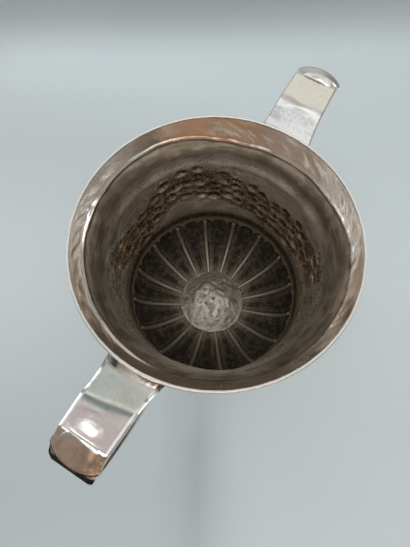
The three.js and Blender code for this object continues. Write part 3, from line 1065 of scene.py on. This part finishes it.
@dataclass
class CentreBoss:
    """The domed plate over the joint with the foot: a low cone with a pitted crown."""

    bowl: Bowl
    radius: float = 16.3
    crown_radius: float = 8.7
    edge: float = 0.95
    rise: float = 2.6
    crown_rise: float = 1.1
    highest: float = 4.7
    wobble: Ripple = Ripple(0.26, 26, 33)
    rings: int = 84
    steps: int = 240

    def build(self) -> Piece:
        """Makes the plate.

        Returns:
            The piece.
        """
        azimuths = azimuths_of(self.steps)
        radii = np.linspace(0.03, self.radius - 0.35, self.rings)[:, None]
        seat = self.bowl.belly_height(self.radius)
        share = np.clip((self.radius - radii) / (self.radius - self.crown_radius), 0, 1)
        crown = 1 - np.clip(radii / self.crown_radius, 0, 1) ** 2
        heights = seat + self.edge + self.rise * share**1.25 + self.crown_rise * crown
        turn = np.radians(azimuths)[None, :]
        x, y = radii * np.cos(turn), radii * np.sin(turn)
        pits = unevenness(x / 1.5 + 40, y / 1.5 + 40, 128, 31)
        lumps = unevenness(x / 3.4 + 40, y / 3.4 + 40, 128, 32)
        broad = smooth_step(-radii, -self.crown_radius - 1.5, -self.crown_radius + 1.5)
        sink = broad * (0.24 * np.clip(pits, -0.2, 1) + 0.22 * lumps) + (1 - broad) * 0.15 * (lumps + pits)
        pin = 0.5 * bell(np.hypot(x - 0.6, y + 0.4), 0.75) + 0.3 * bell(np.hypot(x + 3.1, y - 1.9), 0.6)
        lift = 0.25 * bell(np.hypot(x + 1.8, y + 2.4), 1.1) + 0.3 * bell(np.hypot(x - 2.6, y - 2.2), 1.0)
        heights = np.minimum(heights - sink - pin + lift, seat + self.highest)
        wobble = self.wobble.at(azimuths)[None, :]
        skirt = np.array([(-0.12, self.edge - 0.12), (0, self.edge - 0.4), (0.05, -0.15), (-0.5, -0.5)])
        skirt_radii = self.radius + skirt[:, :1] + wobble
        all_radii = np.vstack([radii + wobble * (radii / self.radius), skirt_radii])
        all_heights = np.vstack([heights, seat + skirt[:, 1:] + 0 * wobble])
        points = revolved(all_radii, all_heights, azimuths)
        marks = {
            "relief": np.vstack([sink + pin, np.zeros_like(skirt_radii)]),
            "crown": 1 - smooth_step(all_radii, self.crown_radius - 2, self.radius - 2.5),
        }
        return piece_from("boss_plate", points, woven(len(all_radii), self.steps), crease=55, marks=marks)

    def dress(self) -> None:
        """Builds the plate and gives it its dull finish."""
        settle(self.build(), "centre_boss", "tarnished_silver", BossSilver().material())


@dataclass
class Handle:
    """One strap handle: a tapered strip with chamfered borders, a faint oval and a cushion at the corner."""

    bowl: Bowl
    side: Side
    rim_radius: float = 50.0
    thickness: float = 1.9
    root_width: float = 19.0
    tail_width: float = 8.5
    chamfer: float = 1.15
    worn_chamfer: float = 0.45
    root_flare: float = 1.3
    slimming: float = 1.4
    rows: int = 300
    oval_reach: float = 18.4
    oval_length: float = 3.7
    oval_width: float = 7.9
    oval_rise: float = 0.085
    oval_line: float = 0.010
    root_twist: float = 0.07
    root_rows: int = 9
    cushion_round: float = 12.2
    cushion_width: float = 20.4
    cushion_top: float = 4.3
    cushion_fall: float = 0.16
    cushion_bend: float = 0.02
    cushion_foot: float = 8.2
    cushion_sink: float = 2.85
    cushion_face: float = 2.9
    root_depth: float = 7.0
    seat_top: float = 53.0
    seat_bottom: float = 59.0
    stations: Points = (
        (3.6, -3.9), (6.6, -2.2), (9.6, -0.48), (11.5, 0.40), (13.4, 0.88), (16.5, 1.35), (19.5, 1.80),
        (22.2, 2.20), (22.9, 2.24), (25.0, 1.45), (29.0, -1.05), (31.4, -4.2), (32.1, -7.5), (33.5, -16.0),
        (32.2, -27.0), (24.0, -36.0), (10.5, -43.0), (-3.0, -47.2),
    )
    tail: Points = ((-8.6, -65.2), (-4.6, -68.4))
    corner: tuple[float, float] = (25.1, 1.35)

    def on_wall(self, depth: float, stand_off: float) -> tuple[float, float]:
        """A place on the wall's outer face: distance beyond the rim's radius, and height over its plane."""
        return self.bowl.outer_radius(depth) + stand_off - self.rim_radius, -depth

    def middle_line(self) -> Array:
        """Evenly spaced points of the strap's middle line: distance from the axis and height.

        Returns:
            The points, a row for each.
        """
        half = self.thickness / 2
        knots = [self.on_wall(self.root_depth, 0.0), *self.stations]
        knots += [self.on_wall(self.seat_top, half), self.on_wall(self.seat_bottom, half), *self.tail]
        knots = np.array(knots) + (self.rim_radius, RIM_HEIGHT)
        slopes = (np.vstack([knots[1:], knots[-1:]]) - np.vstack([knots[:1], knots[:-1]])) / 2
        share = np.linspace(0, 1, 60, endpoint=False)[:, None]
        s2, s3 = share**2, share**3
        weights = (2 * s3 - 3 * s2 + 1, s3 - 2 * s2 + share, 3 * s2 - 2 * s3, s3 - s2)
        spans = zip(knots[:-1], slopes[:-1], knots[1:], slopes[1:])
        bent = [sum(weight * part for weight, part in zip(weights, span)) for span in spans]
        fine = np.vstack([*bent, knots[-1:]])
        length = lengths(fine)
        even = np.linspace(0, length[-1], self.rows)
        return np.column_stack([np.interp(even, length, fine[:, 0]), np.interp(even, length, fine[:, 1])])

    def normals(self, line: Array) -> Array:
        """Unit normals of a line, on the side of the strap's upper face."""
        return directions(line)[:, ::-1] * (-1, 1)

    def section(self) -> Array:
        """The strap's section: share of the half width, distance from the edge, and height.

        Returns:
            The points, a row for each.
        """
        half, cut = self.thickness / 2, self.chamfer * (1.0 if self.side is Side.LEFT else self.worn_chamfer)
        points = [(-1, cut, half), *((share, 0.0, half) for share in np.linspace(-1, 1, 15)[1:-1])]
        points += [(1, -cut, half), (1, -0.10, half - 0.50), (1, 0, half - 0.72)]
        points += [(1, 0, -half + 0.35), (1, -0.3, -half)]
        points += [(share, 0.0, -half) for share in np.linspace(0.8, -0.8, 9)]
        points += [(-1, 0.3, -half), (-1, 0, -half + 0.35), (-1, 0, half - 0.72), (-1, 0.10, half - 0.50)]
        return np.array(points)

    def turned(self, points: Array) -> Array:
        """Points of the right handle, turned to this one's side."""
        return points if self.side is Side.RIGHT else points * (-1, -1, 1)

    def surfaced(self, line: Array, across: Array, over: Array) -> tuple[Array, Array]:
        """Adds the relief of the upper face: hammer marks, and the left one's oval and twisted root.

        Args:
            line: The strap's middle line.
            across: Distances from the middle line, a row for each of its points.
            over: Heights of the same places over the middle line.

        Returns:
            The heights with the relief, and how rough the root is.
        """
        share = np.linspace(0, 1, self.rows)[:, None]
        beyond = line[:, :1] - self.rim_radius
        upper = line[:, 1:] > RIM_HEIGHT - 4
        near_root = smooth_step(-beyond, -13.4, -9.4) * (line[:, 1:] > RIM_HEIGHT - 12)
        ripple = unevenness(share * 46 + 3, across / 4.2 + 40, 128, 51 + int(self.side.value))
        fine = unevenness(share * 110 + 9, across / 1.9 + 40, 256, 53)
        if self.side is Side.RIGHT:
            beaten = 0.05 * ripple + (0.01 + 0.035 * near_root) * fine
            return over + np.where((over > 0.6) & upper, beaten, 0), near_root
        reached = np.hypot((beyond - self.oval_reach) / self.oval_length, across / self.oval_width)
        swelling = self.oval_rise * np.clip(1 - reached**2, 0, 1) - self.oval_line * bell(reached - 1, 0.1)
        beaten = np.where(over > 0.6, 0.018 * ripple + 0.01 * fine, 0)
        marked = np.where((over > 0) & upper, swelling + beaten, 0)
        return over + marked + self.root_twist * across * near_root, 0 * near_root

    def cut_root(self, x: Array, across: Array, z: Array) -> None:
        """Moves the strap's first rows so that its end lies on the bowl's wall.

        Args:
            x: Distances from the axis, which are changed.
            across: Distances from the middle line.
            z: Heights above the table.
        """
        depths = RIM_HEIGHT - z[0]
        wall = np.array([self.bowl.outer_radius(depth) for depth in depths])
        wall += self.bowl.lip_relief(np.array([self.side.value]), depths)[:, 0]
        seat = np.sqrt((wall - 0.2) ** 2 - across[0] ** 2)
        ease = ((1 - np.arange(self.root_rows) / self.root_rows) ** 2)[:, None]
        x[:self.root_rows] += (seat - x[0])[None, :] * ease

    def strap(self) -> Piece:
        """Makes the strap, its root cut to the wall that it is soldered to.

        Returns:
            The piece.
        """
        line = self.middle_line()
        normal = self.normals(line)
        share = np.linspace(0, 1, self.rows)
        half_width = (self.root_width + (self.tail_width - self.root_width) * share) / 2
        half_width -= self.slimming * smooth_step(share, 0.28, 0.37) * smooth_step(-share, -0.95, -0.75)
        section = self.section()
        flared = half_width + self.root_flare * bell(share, 0.06)
        across = section[None, :, 0] * flared[:, None] + section[None, :, 1]
        over, rough = self.surfaced(line, across, np.repeat(section[None, :, 2], self.rows, 0))
        x = line[:, :1] + normal[:, :1] * over
        z = line[:, 1:] + normal[:, 1:] * over
        self.cut_root(x, across, z)
        points = np.stack([x, across, z], -1)
        rows, columns = points.shape[:2]
        faces = woven(rows, columns)
        cap = np.arange(rows * columns - columns, rows * columns)
        # Painted shadow under the rim on the strap's root, stronger towards one edge.
        corner = bell(line[:, :1] - self.rim_radius + 0.3, 2.4) * (0.35 + 0.65 * smooth_step(across, -1, 5))
        marks = {"dirt_and_shade": corner * (line[:, 1:] > RIM_HEIGHT - 12), "frost": rough * np.ones_like(across)}
        points = self.turned(points.reshape(-1, 3))
        piece = piece_from(f"strap_{self.side.name.lower()}", points, faces[:, ::-1], crease=28, marks=marks)
        self.close_end(piece, cap)
        return piece

    @staticmethod
    def close_end(piece: Piece, ring: Array) -> None:
        """Closes the strap's tail with one face over its last ring of points.

        Args:
            piece: The strap.
            ring: Indices of its last ring of points.
        """
        shape = bmesh.new()
        shape.from_mesh(piece.data)
        shape.verts.ensure_lookup_table()
        end = shape.faces.new([shape.verts[int(i)] for i in ring])
        end.smooth = False
        bmesh.ops.recalc_face_normals(shape, faces=shape.faces)
        shape.to_mesh(piece.data)
        shape.free()

    def pressed(self, x: Array, z: Array) -> Array:
        """Heights of a cushion whose top falls evenly outwards from its straight side.

        Args:
            x: Distances of the points from the cup's axis.
            z: Heights of the points on the round cushion.

        Returns:
            The heights, changed over the strap only.
        """
        middle, base = self.corner[0] + self.rim_radius, RIM_HEIGHT + self.corner[1] - 0.6
        half = self.cushion_round / 2
        top = base + 0.6 - self.cushion_sink + np.sqrt(np.clip(half**2 - (x - middle) ** 2, 0, None))
        away = x - middle + self.cushion_face
        wanted = RIM_HEIGHT + self.cushion_top - self.cushion_fall * away - self.cushion_bend * away**2
        ratio = np.clip((wanted - base) / np.maximum(top - base, 0.05), 0, 1.2)
        ratio = np.where(x < middle, ratio, np.minimum(ratio, 1))
        return np.where(z > base, base + (z - base) * ratio, z)

    def cushion(self) -> Piece:
        """Makes the half-oval cushion, straight on the cup's side and sunk a little in the strap.

        Returns:
            The piece.
        """
        columns, rings = 96, 64
        azimuth = np.arange(columns) * TAU / columns
        polar = np.linspace(0.02, math.pi - 0.02, rings)[:, None]
        half, wide = self.cushion_round / 2, self.cushion_width / 2
        corner = np.array(self.corner) + (self.rim_radius, RIM_HEIGHT)
        x = corner[0] + np.sin(polar) * np.cos(azimuth) * half
        y = np.sin(polar) * np.sin(azimuth) * wide
        z = np.repeat(np.cos(polar), columns, 1) * half + corner[1] - self.cushion_sink
        face, soft = corner[0] - self.cushion_face, 0.25
        rounded = soft * np.log1p(np.exp(np.clip((x - face) / soft, -30, 30)))
        x = face + np.where(x - face > 4, x - face, rounded)
        if self.side is Side.LEFT:
            z = self.pressed(x, z)
        line = self.middle_line()
        line = line[(line[:, 1] > RIM_HEIGHT - 20) & (line[:, 0] > self.rim_radius + 15)]
        normal = self.normals(line)
        place = np.stack([x, z], -1)
        nearest = ((place[:, :, None, :] - line) ** 2).sum(-1).argmin(-1)
        over = ((place - line[nearest]) * normal[nearest]).sum(-1)
        raise_by = np.maximum(self.thickness / 2 - 0.45 - over, 0)
        place = place + normal[nearest] * raise_by[..., None]
        level = place[..., 1] - corner[1] + self.cushion_sink
        reach = ((place[..., 0] - corner[0]) ** 2 + level**2) / half**2
        foot = np.minimum(wide * np.sqrt(np.clip(1 - reach, 0, 1)), self.cushion_foot)
        y = np.where(raise_by > 0, np.clip(y, -foot, foot), y)
        points = np.stack([place[..., 0], y, place[..., 1]], -1).reshape(-1, 3)
        name = f"thumb_cushion_{self.side.name.lower()}"
        return piece_from(name, self.turned(points), woven(rings, columns), crease=60)

    def dress(self, strap_finish: Material, cushion_finish: Material) -> None:
        """Builds the strap and the cushion and polishes them.

        Args:
            strap_finish: Material of the strap.
            cushion_finish: Material of the cushion.
        """
        name = self.side.name.lower()
        settle(self.strap(), f"handle_{name}", "polished_silver", strap_finish)
        settle(self.cushion(), f"thumb_rest_{name}", "polished_silver", cushion_finish)


@dataclass
class Foot:
    """The raised foot, its collar under the bowl and the wire ring that it stands on."""

    bowl: Bowl
    stem_radius: float = 9.5
    waist_height: float = 27.05
    stem_base_radius: float = 12.5
    stem_base_height: float = 20.94
    dome_top_radius: float = 14.0
    dome_radius: float = 29.5
    dome_height: float = 20.07
    dome_foot_height: float = 8.0
    cove_width: float = 1.8
    flange_radius: float = 33.6
    sheet: float = 1.1
    collar_radius: float = 14.0
    collar_height: float = 5.2
    collar_rounding: float = 1.3
    base_radius: float = 35.0
    base_width: float = 4.2
    base_height: float = 4.0
    planishing: tuple[Ripple, ...] = (Ripple(0.06, 48, 61, 4.0), Ripple(0.05, 20, 62, 9.0))
    collar_wear: Ripple = Ripple(0.04, 60, 71, 2.0)
    base_wear: Ripple = Ripple(0.05, 50, 81, 2.0)
    steps: int = 384

    def line(self) -> Array:
        """The foot's outer line from the bowl down to the flange.

        Returns:
            The points, a row for each.
        """
        top = self.bowl.belly_height(self.stem_radius, self.bowl.sheet) + 0.1
        stem = [(self.stem_radius, height) for height in np.linspace(top, self.waist_height, 8)]
        share = np.linspace(0, 1, 12)[1:]
        bend_radius = self.stem_radius + share**2 * (self.stem_base_radius - self.stem_radius)
        bend_height = (1 - share) ** 2 * self.waist_height + (1 - (1 - share) ** 2) * self.stem_base_height
        turn = np.radians(np.linspace(90, 0, 34))
        dome_radius = self.dome_top_radius + (self.dome_radius - self.dome_top_radius) * np.cos(turn)
        dome_height = self.dome_foot_height + (self.dome_height - self.dome_foot_height) * np.sin(turn)
        ledge, flange = self.base_height + self.sheet, self.flange_radius
        cove = np.radians(np.linspace(0, 90, 7))[1:]
        cove_radius = self.dome_radius + self.cove_width * (1 - np.cos(cove))
        cove_height = self.dome_foot_height - (self.dome_foot_height - ledge) * np.sin(cove)
        curves = [(bend_radius, bend_height), (dome_radius, dome_height), (cove_radius, cove_height)]
        rest = [(flange - 1.2, ledge), (flange - 0.3, ledge - 0.1), (flange, ledge - 0.5)]
        return np.vstack([stem, *(np.column_stack(curve) for curve in curves), rest])

    def body(self) -> Piece:
        """Makes the foot's shell, with shallow flutes over its dome like those of the bowl.

        Returns:
            The piece.
        """
        line = self.line()
        azimuths = azimuths_of(self.steps)
        phase, length = from_rod(azimuths), lengths(line)[:, None]
        radius, height = np.hsplit(line, 2)
        domed = smooth_step(radius, 15.5, 18.0) * smooth_step(height, 8.6, 10.2)
        lobe = 0.45 * np.cos(TAU * phase / FLUTE_WIDTH) ** 2 - 0.55 * bell(phase - FLUTE_WIDTH / 4, 0.9)
        groove = -0.35 * bell(radius - 14.6, 0.5) * (height > 19)
        groove -= 0.3 * bell(height - 7.4, 0.45) * (radius > 28)
        hammered = sum(marks.at(azimuths[None, :], length) for marks in self.planishing)
        up, down = np.hsplit(directions(line), 2)
        move = domed * (lobe - 0.1) + groove + hammered
        outer = revolved(radius - down * move, height + up * move, azimuths)
        inner_radius = np.maximum(radius + down * self.sheet, 1.0)
        inner_height = np.maximum(height - up * self.sheet, self.base_height)
        inner = revolved(inner_radius[::-1], inner_height[::-1], azimuths)
        faces = woven(2 * len(line), self.steps, ring=True)
        return piece_from("foot_shell", np.vstack([outer, inner]), faces, crease=40)

    def moulding(self, name: str, line: Array, wear: Ripple, crease: float) -> Piece:
        """Makes a turned moulding, a little uneven round the cup.

        Args:
            name: Name of the piece.
            line: The section's radii and heights.
            wear: How its surface swells and sinks.
            crease: Angle in degrees from which an edge stays sharp.

        Returns:
            The piece.
        """
        azimuths = azimuths_of(self.steps)
        radii = line[:, :1] + wear.at(azimuths[None, :], line[:, 1:])
        points = revolved(radii, line[:, 1:], azimuths)
        return piece_from(name, points, woven(len(line), self.steps, ring=True)[:, ::-1], crease=crease)

    def collar(self) -> Piece:
        """Makes the turned collar: a round between two fine grooves.

        Returns:
            The piece.
        """
        shoulder = self.collar_radius - self.collar_rounding
        top = self.bowl.belly_height(shoulder, self.bowl.sheet) + 0.1
        bottom = top - self.collar_height
        inner = self.stem_radius - 0.1
        fall = np.linspace(-90, 90, 41)
        groove = 0.34 * bell(np.abs(fall) - 38, 8)
        radii = shoulder + self.collar_rounding * np.cos(np.radians(fall)) - groove
        heights = bottom + self.collar_height / 2 * (1 + np.sin(np.radians(fall)))
        round_side = np.column_stack([radii, heights])
        line = np.vstack([[(inner, bottom), (inner + 1.5, bottom)], round_side, [(inner, top + 0.6)]])
        return self.moulding("collar_moulding", line, self.collar_wear, 40)

    def ring(self) -> Piece:
        """Makes the ring on the table: an upright edge, a small step and a round shoulder.

        Returns:
            The piece.
        """
        outer, inner, height = self.base_radius, self.base_radius - self.base_width, self.base_height
        edge = [(-0.35, 0.0), (0, 0.3), (0, 1.5), (-0.25, 1.65), (-0.3, 1.9)]
        turns = np.linspace(0, TAU / 4, 9)
        edge += [(1.2 * math.cos(turn) - 1.5, 2.1 + (height - 2.0) * math.sin(turn)) for turn in turns]
        line = [(inner, 0.25), (inner + 0.3, 0.0), *((outer + off, up) for off, up in edge)]
        line = np.array([*line, (inner, height + 0.1)]) - (self.base_wear.depth, 0)
        return self.moulding("base_moulding", line, self.base_wear, 35)

    def dress(self) -> None:
        """Builds the foot's three pieces and polishes them."""
        shell = PolishedSilver("foot_silver", hammer_size=4.0, hammer_depth=0.04)
        turned = PolishedSilver("collar_silver", hammer_size=3.0, hammer_depth=0.015, smoothest=0.12)
        worn = PolishedSilver("base_silver", hammer_size=3.0, hammer_depth=0.02, smoothest=0.14, roughest=0.3)
        settle(self.body(), "foot", "polished_silver", shell.material())
        settle(self.collar(), "stem_collar", "polished_silver", turned.material())
        settle(self.ring(), "foot_ring", "polished_silver", worn.material())


# The studio


@dataclass(frozen=True)
class Glow:
    """A soft bright or dark place in the sky, full as far as its core and gone at its edge."""

    azimuth: float
    elevation: float
    core: float
    edge: float
    colour: Colour


@dataclass(frozen=True)
class Panel:
    """An upright piece of cloth of the screen beside the camera."""

    start: float
    end: float
    bottom: float
    top: float
    colour: Colour
    inset: float = 0.0
    folds: float = 0.4


@dataclass(frozen=True)
class SoftBox:
    """A square soft box that faces the cup, at a distance from the cup's middle.

    White paper in the studio's light is about as bright as a level of 1.
    """

    name: str
    azimuth: float
    elevation: float
    distance: float
    size: float
    level: float
    aim: float = 80.0

    def hang(self) -> None:
        """Makes the light."""
        lamp = bpy.data.lights.new(self.name, "AREA")
        lamp.shape = "SQUARE"
        lamp.size = self.size * MM
        lamp.energy = self.level * math.pi * (self.size * MM) ** 2
        box = bpy.data.objects.new(self.name, lamp)
        outward = Vector(toward(self.azimuth, self.elevation))
        box.location = outward * self.distance * MM + Vector((0, 0, self.aim * MM))
        box.rotation_mode = "QUATERNION"
        box.rotation_quaternion = (-outward).to_track_quat("-Z", "Y")
        box.visible_camera = False
        bpy.context.scene.collection.objects.link(box)
        log.info("%s hangs", self.name)


@dataclass
class Studio:
    """A pale paper sweep, a sky of soft glows, a warm dark screen, a card and four soft boxes."""

    paper_colour: Colour = (0.805, 0.885, 0.915)
    shaded_colour: Colour = (0.37, 0.41, 0.43)
    # Brown painted shade at the paper's sides, also darkening the upright part's ends.
    painted_shade_brown: Colour = (0.34, 0.30, 0.255)
    # Painted light: a paler patch high on the upright part.
    painted_light_colour: Colour = (0.70, 0.72, 0.65)
    sweep_azimuth: float = 30.0
    sweep_start: float = 200.0
    sweep_bend: float = 130.0
    sweep_height: float = 460.0
    sweep_rows: tuple[float, ...] = (-2500, -400, -130, -95, -70, -45, -20, 10, 60, 120, 160, 180)
    sweep_columns: tuple[float, ...] = (
        -1500, -700, -400, -260, -190, -150, -120, -90, -60, -30, -15, -5, 6, 17, 30, 60, 150, 230, 320, 1500,
    )
    sky_colour: Colour = (0.80, 0.816, 0.827)
    glows: tuple[Glow, ...] = (
        Glow(-62, 18, 26, 46, (0.25, 0.23, 0.20)),
        Glow(118, 18, 26, 46, (0.25, 0.23, 0.20)),
        Glow(30, 88, 4, 10, (2.2, 2.2, 2.15)),
        Glow(15, 62, 10, 30, (0.70, 0.69, 0.61)),
        Glow(63, 77, 6, 13, (0.46, 0.41, 0.41)),
        Glow(172, 70, 4, 13, (1.7, 1.7, 1.66)),
        Glow(246, 62, 8, 15, (1.7, 1.68, 1.6)),
        Glow(104, 27, 3, 8, (2.0, 2.0, 1.95)),
        Glow(-42, 28, 6, 15, (1.9, 1.9, 1.85)),
    )
    card_place: Place = (-1.5, 30.0, 250.0)
    card_size: tuple[float, float] = (95.0, 53.0)
    card_azimuth: float = 110.0
    card_colours: tuple[Colour, Colour] = ((0.30, 0.38, 0.42), (0.36, 0.44, 0.48))
    screen_radius: float = 250.0
    screen_lean: float = 0.27
    screen_foot: float = 130.0
    panels: tuple[Panel, ...] = (
        Panel(150, 200, 0, 100, (0.012, 0.009, 0.008), 118),
        Panel(138, 158, 60, 350, (0.52, 0.375, 0.30), 0, 0.12),
        Panel(158, 176, 60, 350, (0.50, 0.335, 0.26), 0, 0.12),
        Panel(176, 188, 60, 350, (0.45, 0.295, 0.225), 0, 0.15),
        Panel(188, 222, 60, 350, (0.66, 0.42, 0.27), 0, 0.5),
        Panel(222, 248, 60, 350, (0.55, 0.40, 0.31), 0, 0.5),
        Panel(248, 272, 60, 350, (0.30, 0.26, 0.22)),
    )
    boxes: tuple[SoftBox, ...] = (
        SoftBox("key_box", 160, 72, 900, 160, 4.0),
        SoftBox("side_box", 60, 13, 330, 110, 1.3),
        SoftBox("edge_box", 100.8, 31.2, 330, 130, 1.3),
        SoftBox("spot_box", 153.2, 70.6, 180.3, 12, 2.6),
    )

    def set_up(self, piece: Piece, finish: Material, mirrored: bool = True, lit: bool = True) -> None:
        """Gives a piece of the studio its finish.

        Args:
            piece: The piece.
            finish: Its material.
            mirrored: True if only mirrors show it.
            lit: True if it throws its colour on dull things.
        """
        piece.data.materials.append(finish)
        if mirrored:
            piece.visible_camera = False
            piece.visible_shadow = False
            piece.visible_diffuse = lit
        log.info("%s stands", piece.name)

    def shading(self, away: Array, across: Array, up: Array) -> Marks:
        """How the light falls off over the paper.

        Args:
            away: Distances from the cup toward the backdrop.
            across: Distances to the left of that line.
            up: Heights above the table.

        Returns:
            The marks that the paper's finish reads: shade, upper (a painted light patch) and wall (brown
            painted shade).
        """
        near, left = smooth_step(-away, -20, 105), smooth_step(across, -35, 20)
        lifted = smooth_step(up, 60, 150)
        front = smooth_step(-away, 35, 60) * (1 - 0.5 * smooth_step(-away, 80, 115))
        shade = 1.19 * smooth_step(away, 190, 275) - 0.16 * bell(away - 190, 36)
        shade += 0.10 * np.clip(across / 200, -1, 1) - 0.08 * smooth_step(-away, 0, 150)
        shade += near * (0.20 + 0.22 * left) + 0.12 * left * bell(away - 140, 45)
        shade += 0.30 * bell(across - 6, 11) * front
        shade -= 0.25 * smooth_step(-across, -60, 160) * smooth_step(away, 150, 275) + 0.9 * lifted
        shade += 0.12 * smooth_step(across, 20, 110) * (1 - near) * smooth_step(-away, -260, -200)
        # Brown painted shade at the paper's sides and on the upright part's ends.
        wall = lifted * smooth_step(-across, 150, 230)
        wall += 0.5 * (1 - lifted) * smooth_step(np.abs(across), 150, 300)
        wall += 0.75 * smooth_step(up, 25, 70) * smooth_step(across, 90, 200)
        # upper is a painted light patch high on the upright part.
        return {"shade": shade, "upper": lifted * bell(across + 78, 75), "wall": np.clip(wall, 0, 1)}

    def sweep(self) -> None:
        """Lays the paper, which bends up into a backdrop on the far side."""
        turn = np.radians(np.linspace(-90, 0, 24))
        bend = np.column_stack([np.cos(turn), 1 + np.sin(turn)]) * self.sweep_bend + (self.sweep_start, 0)
        flat = [(along, 0.0) for along in self.sweep_rows]
        line = np.vstack([flat, bend, (bend[-1, 0], self.sweep_height)])
        rows, columns = len(line), len(self.sweep_columns)
        away, up = np.tile(line, (columns, 1)).T
        across = np.repeat(self.sweep_columns, rows).astype(float)
        turned = math.radians(self.sweep_azimuth)
        x = away * math.cos(turned) - across * math.sin(turned)
        y = away * math.sin(turned) + across * math.cos(turned)
        faces = woven(columns, rows).reshape(columns - 1, rows, 4)[:, :-1].reshape(-1, 4)[:, ::-1]
        marks = self.shading(away, across, up)
        recipe = Recipe("sweep_paper")
        cloud = recipe.noise(160.0, 2.0)
        tone = recipe.sum(recipe.sum(recipe.mark("shade"), cloud, 0.12), 0.2)
        plain = recipe.blend(recipe.spread(tone, 0.0, 1.3), self.paper_colour, self.shaded_colour)
        # Brown painted shade, then the painted light patch.
        walled = recipe.blend(recipe.mark("wall"), plain, self.painted_shade_brown)
        colour = recipe.blend(recipe.mark("upper"), walled, self.painted_light_colour)
        paper = recipe.finish(Base_Color=colour, Roughness=0.8)
        piece = piece_from("paper_sweep", np.column_stack([x, y, up]), faces, marks=marks)
        self.set_up(piece, paper, mirrored=False)

    def sky(self) -> None:
        """Makes the even light from all round, with its soft glows."""
        recipe = SkyRecipe("soft_sky")
        mixed = self.sky_colour
        for glow in self.glows:
            values = {0: recipe.place, 1: toward(glow.azimuth, glow.elevation)}
            near = recipe.node("VectorMath", values, operation="DOT_PRODUCT").outputs["Value"]
            edge, core = math.cos(math.radians(glow.edge)), math.cos(math.radians(glow.core))
            mixed = recipe.blend(recipe.spread(near, edge, core), mixed, glow.colour)
        recipe.put(recipe.tree.nodes["Background"].inputs["Color"], mixed)
        log.info("sky made with %d glows", len(self.glows))

    def screen(self) -> None:
        """Stands the curved screen of warm dark cloths beside the camera, which only the silver shows."""
        rows, columns = 8, 24
        faces = woven(rows, columns).reshape(rows - 1, columns, 4)[:, :-1].reshape(-1, 4)
        for number, panel in enumerate(self.panels):
            heights = np.linspace(panel.bottom, panel.top, rows)[:, None]
            lean = self.screen_lean * np.maximum(heights - self.screen_foot, 0)
            radii = self.screen_radius - panel.inset - lean
            points = revolved(radii, heights, np.linspace(panel.start, panel.end, columns))
            recipe = Recipe(f"cloth_{number}")
            folds = recipe.noise(38.0, 3.0, (1.0, 1.0, 0.5))
            light = tuple(min((1 + panel.folds) * part, 1.0) for part in panel.colour)
            dark = tuple((1 - panel.folds) * part for part in panel.colour)
            colour = recipe.blend(recipe.spread(folds, 0.36, 0.62), dark, light)
            piece = piece_from(f"warm_cloth_{number}", points, faces)
            self.set_up(piece, recipe.finish(Base_Color=colour, Roughness=0.9), lit=False)

    def card(self) -> None:
        """Hangs the small dark blue card over the cup, which only the silver shows."""
        along = math.radians(self.card_azimuth)
        length = np.array([math.cos(along), math.sin(along), 0]) * self.card_size[0] / 2
        width = np.array([-math.sin(along), math.cos(along), 0]) * self.card_size[1] / 2
        corners = np.array([-length - width, length - width, length + width, width - length])
        corners += self.card_place
        recipe = Recipe("card_blue")
        tone = recipe.blend(recipe.spread(recipe.noise(30.0, 2.0), 0.4, 0.6), *self.card_colours)
        piece = piece_from("dark_card", corners, np.array([[0, 1, 2, 3]]))
        self.set_up(piece, recipe.finish(Base_Color=tone, Roughness=0.7))

    def build(self) -> None:
        """Sets up the whole studio."""
        self.sweep()
        self.sky()
        self.screen()
        for box in self.boxes:
            box.hang()
        self.card()


@dataclass
class Camera:
    """The camera at the photograph's place."""

    place: Place = (-50.880, -24.816, 242.124)
    heading: float = -1.0499575
    pitch: float = 1.2335694
    roll: float = 0.01969257
    lens: float = 27.05
    sensor: float = 36.0
    nearest: float = 0.005
    farthest: float = 20.0

    def build(self) -> None:
        """Sets the camera up and makes it the scene's own."""
        camera = bpy.data.cameras.new("photo_camera")
        camera.lens = self.lens
        camera.sensor_width = self.sensor
        camera.clip_start = self.nearest
        camera.clip_end = self.farthest
        stand = bpy.data.objects.new("photo_camera", camera)
        stand.location = Vector(self.place) * MM
        turn = Matrix.Rotation(self.heading, 3, "Z") @ Matrix.Rotation(math.pi / 2 - self.pitch, 3, "X")
        stand.rotation_mode = "QUATERNION"
        stand.rotation_quaternion = (turn @ Matrix.Rotation(self.roll, 3, "Z")).to_quaternion()
        bpy.context.scene.collection.objects.link(stand)
        bpy.context.scene.camera = stand
        log.info("camera stands")


def main() -> None:
    """Builds the studio and the cup, piece by piece."""
    logging.basicConfig(level=logging.INFO, format="%(message)s")
    bpy.context.scene.view_settings.view_transform = "Standard"
    Camera().build()
    Studio().build()
    rim = Rim()
    bowl = Bowl(rim)
    bowl.dress()
    RimWire(rim).dress()
    CentreBoss(bowl).dress()
    strap_finish = PolishedSilver("strap_silver", hammer_size=7.0, hammer_depth=0.03).material()
    cushion_finish = PolishedSilver("cushion_silver", hammer_size=6.0, hammer_depth=0.02).material()
    for side in Side:
        Handle(bowl, side).dress(strap_finish, cushion_finish)
    Foot(bowl).dress()
    bpy.context.view_layer.update()
    log.info("the cup is done")


if __name__ == "__main__":
    main()
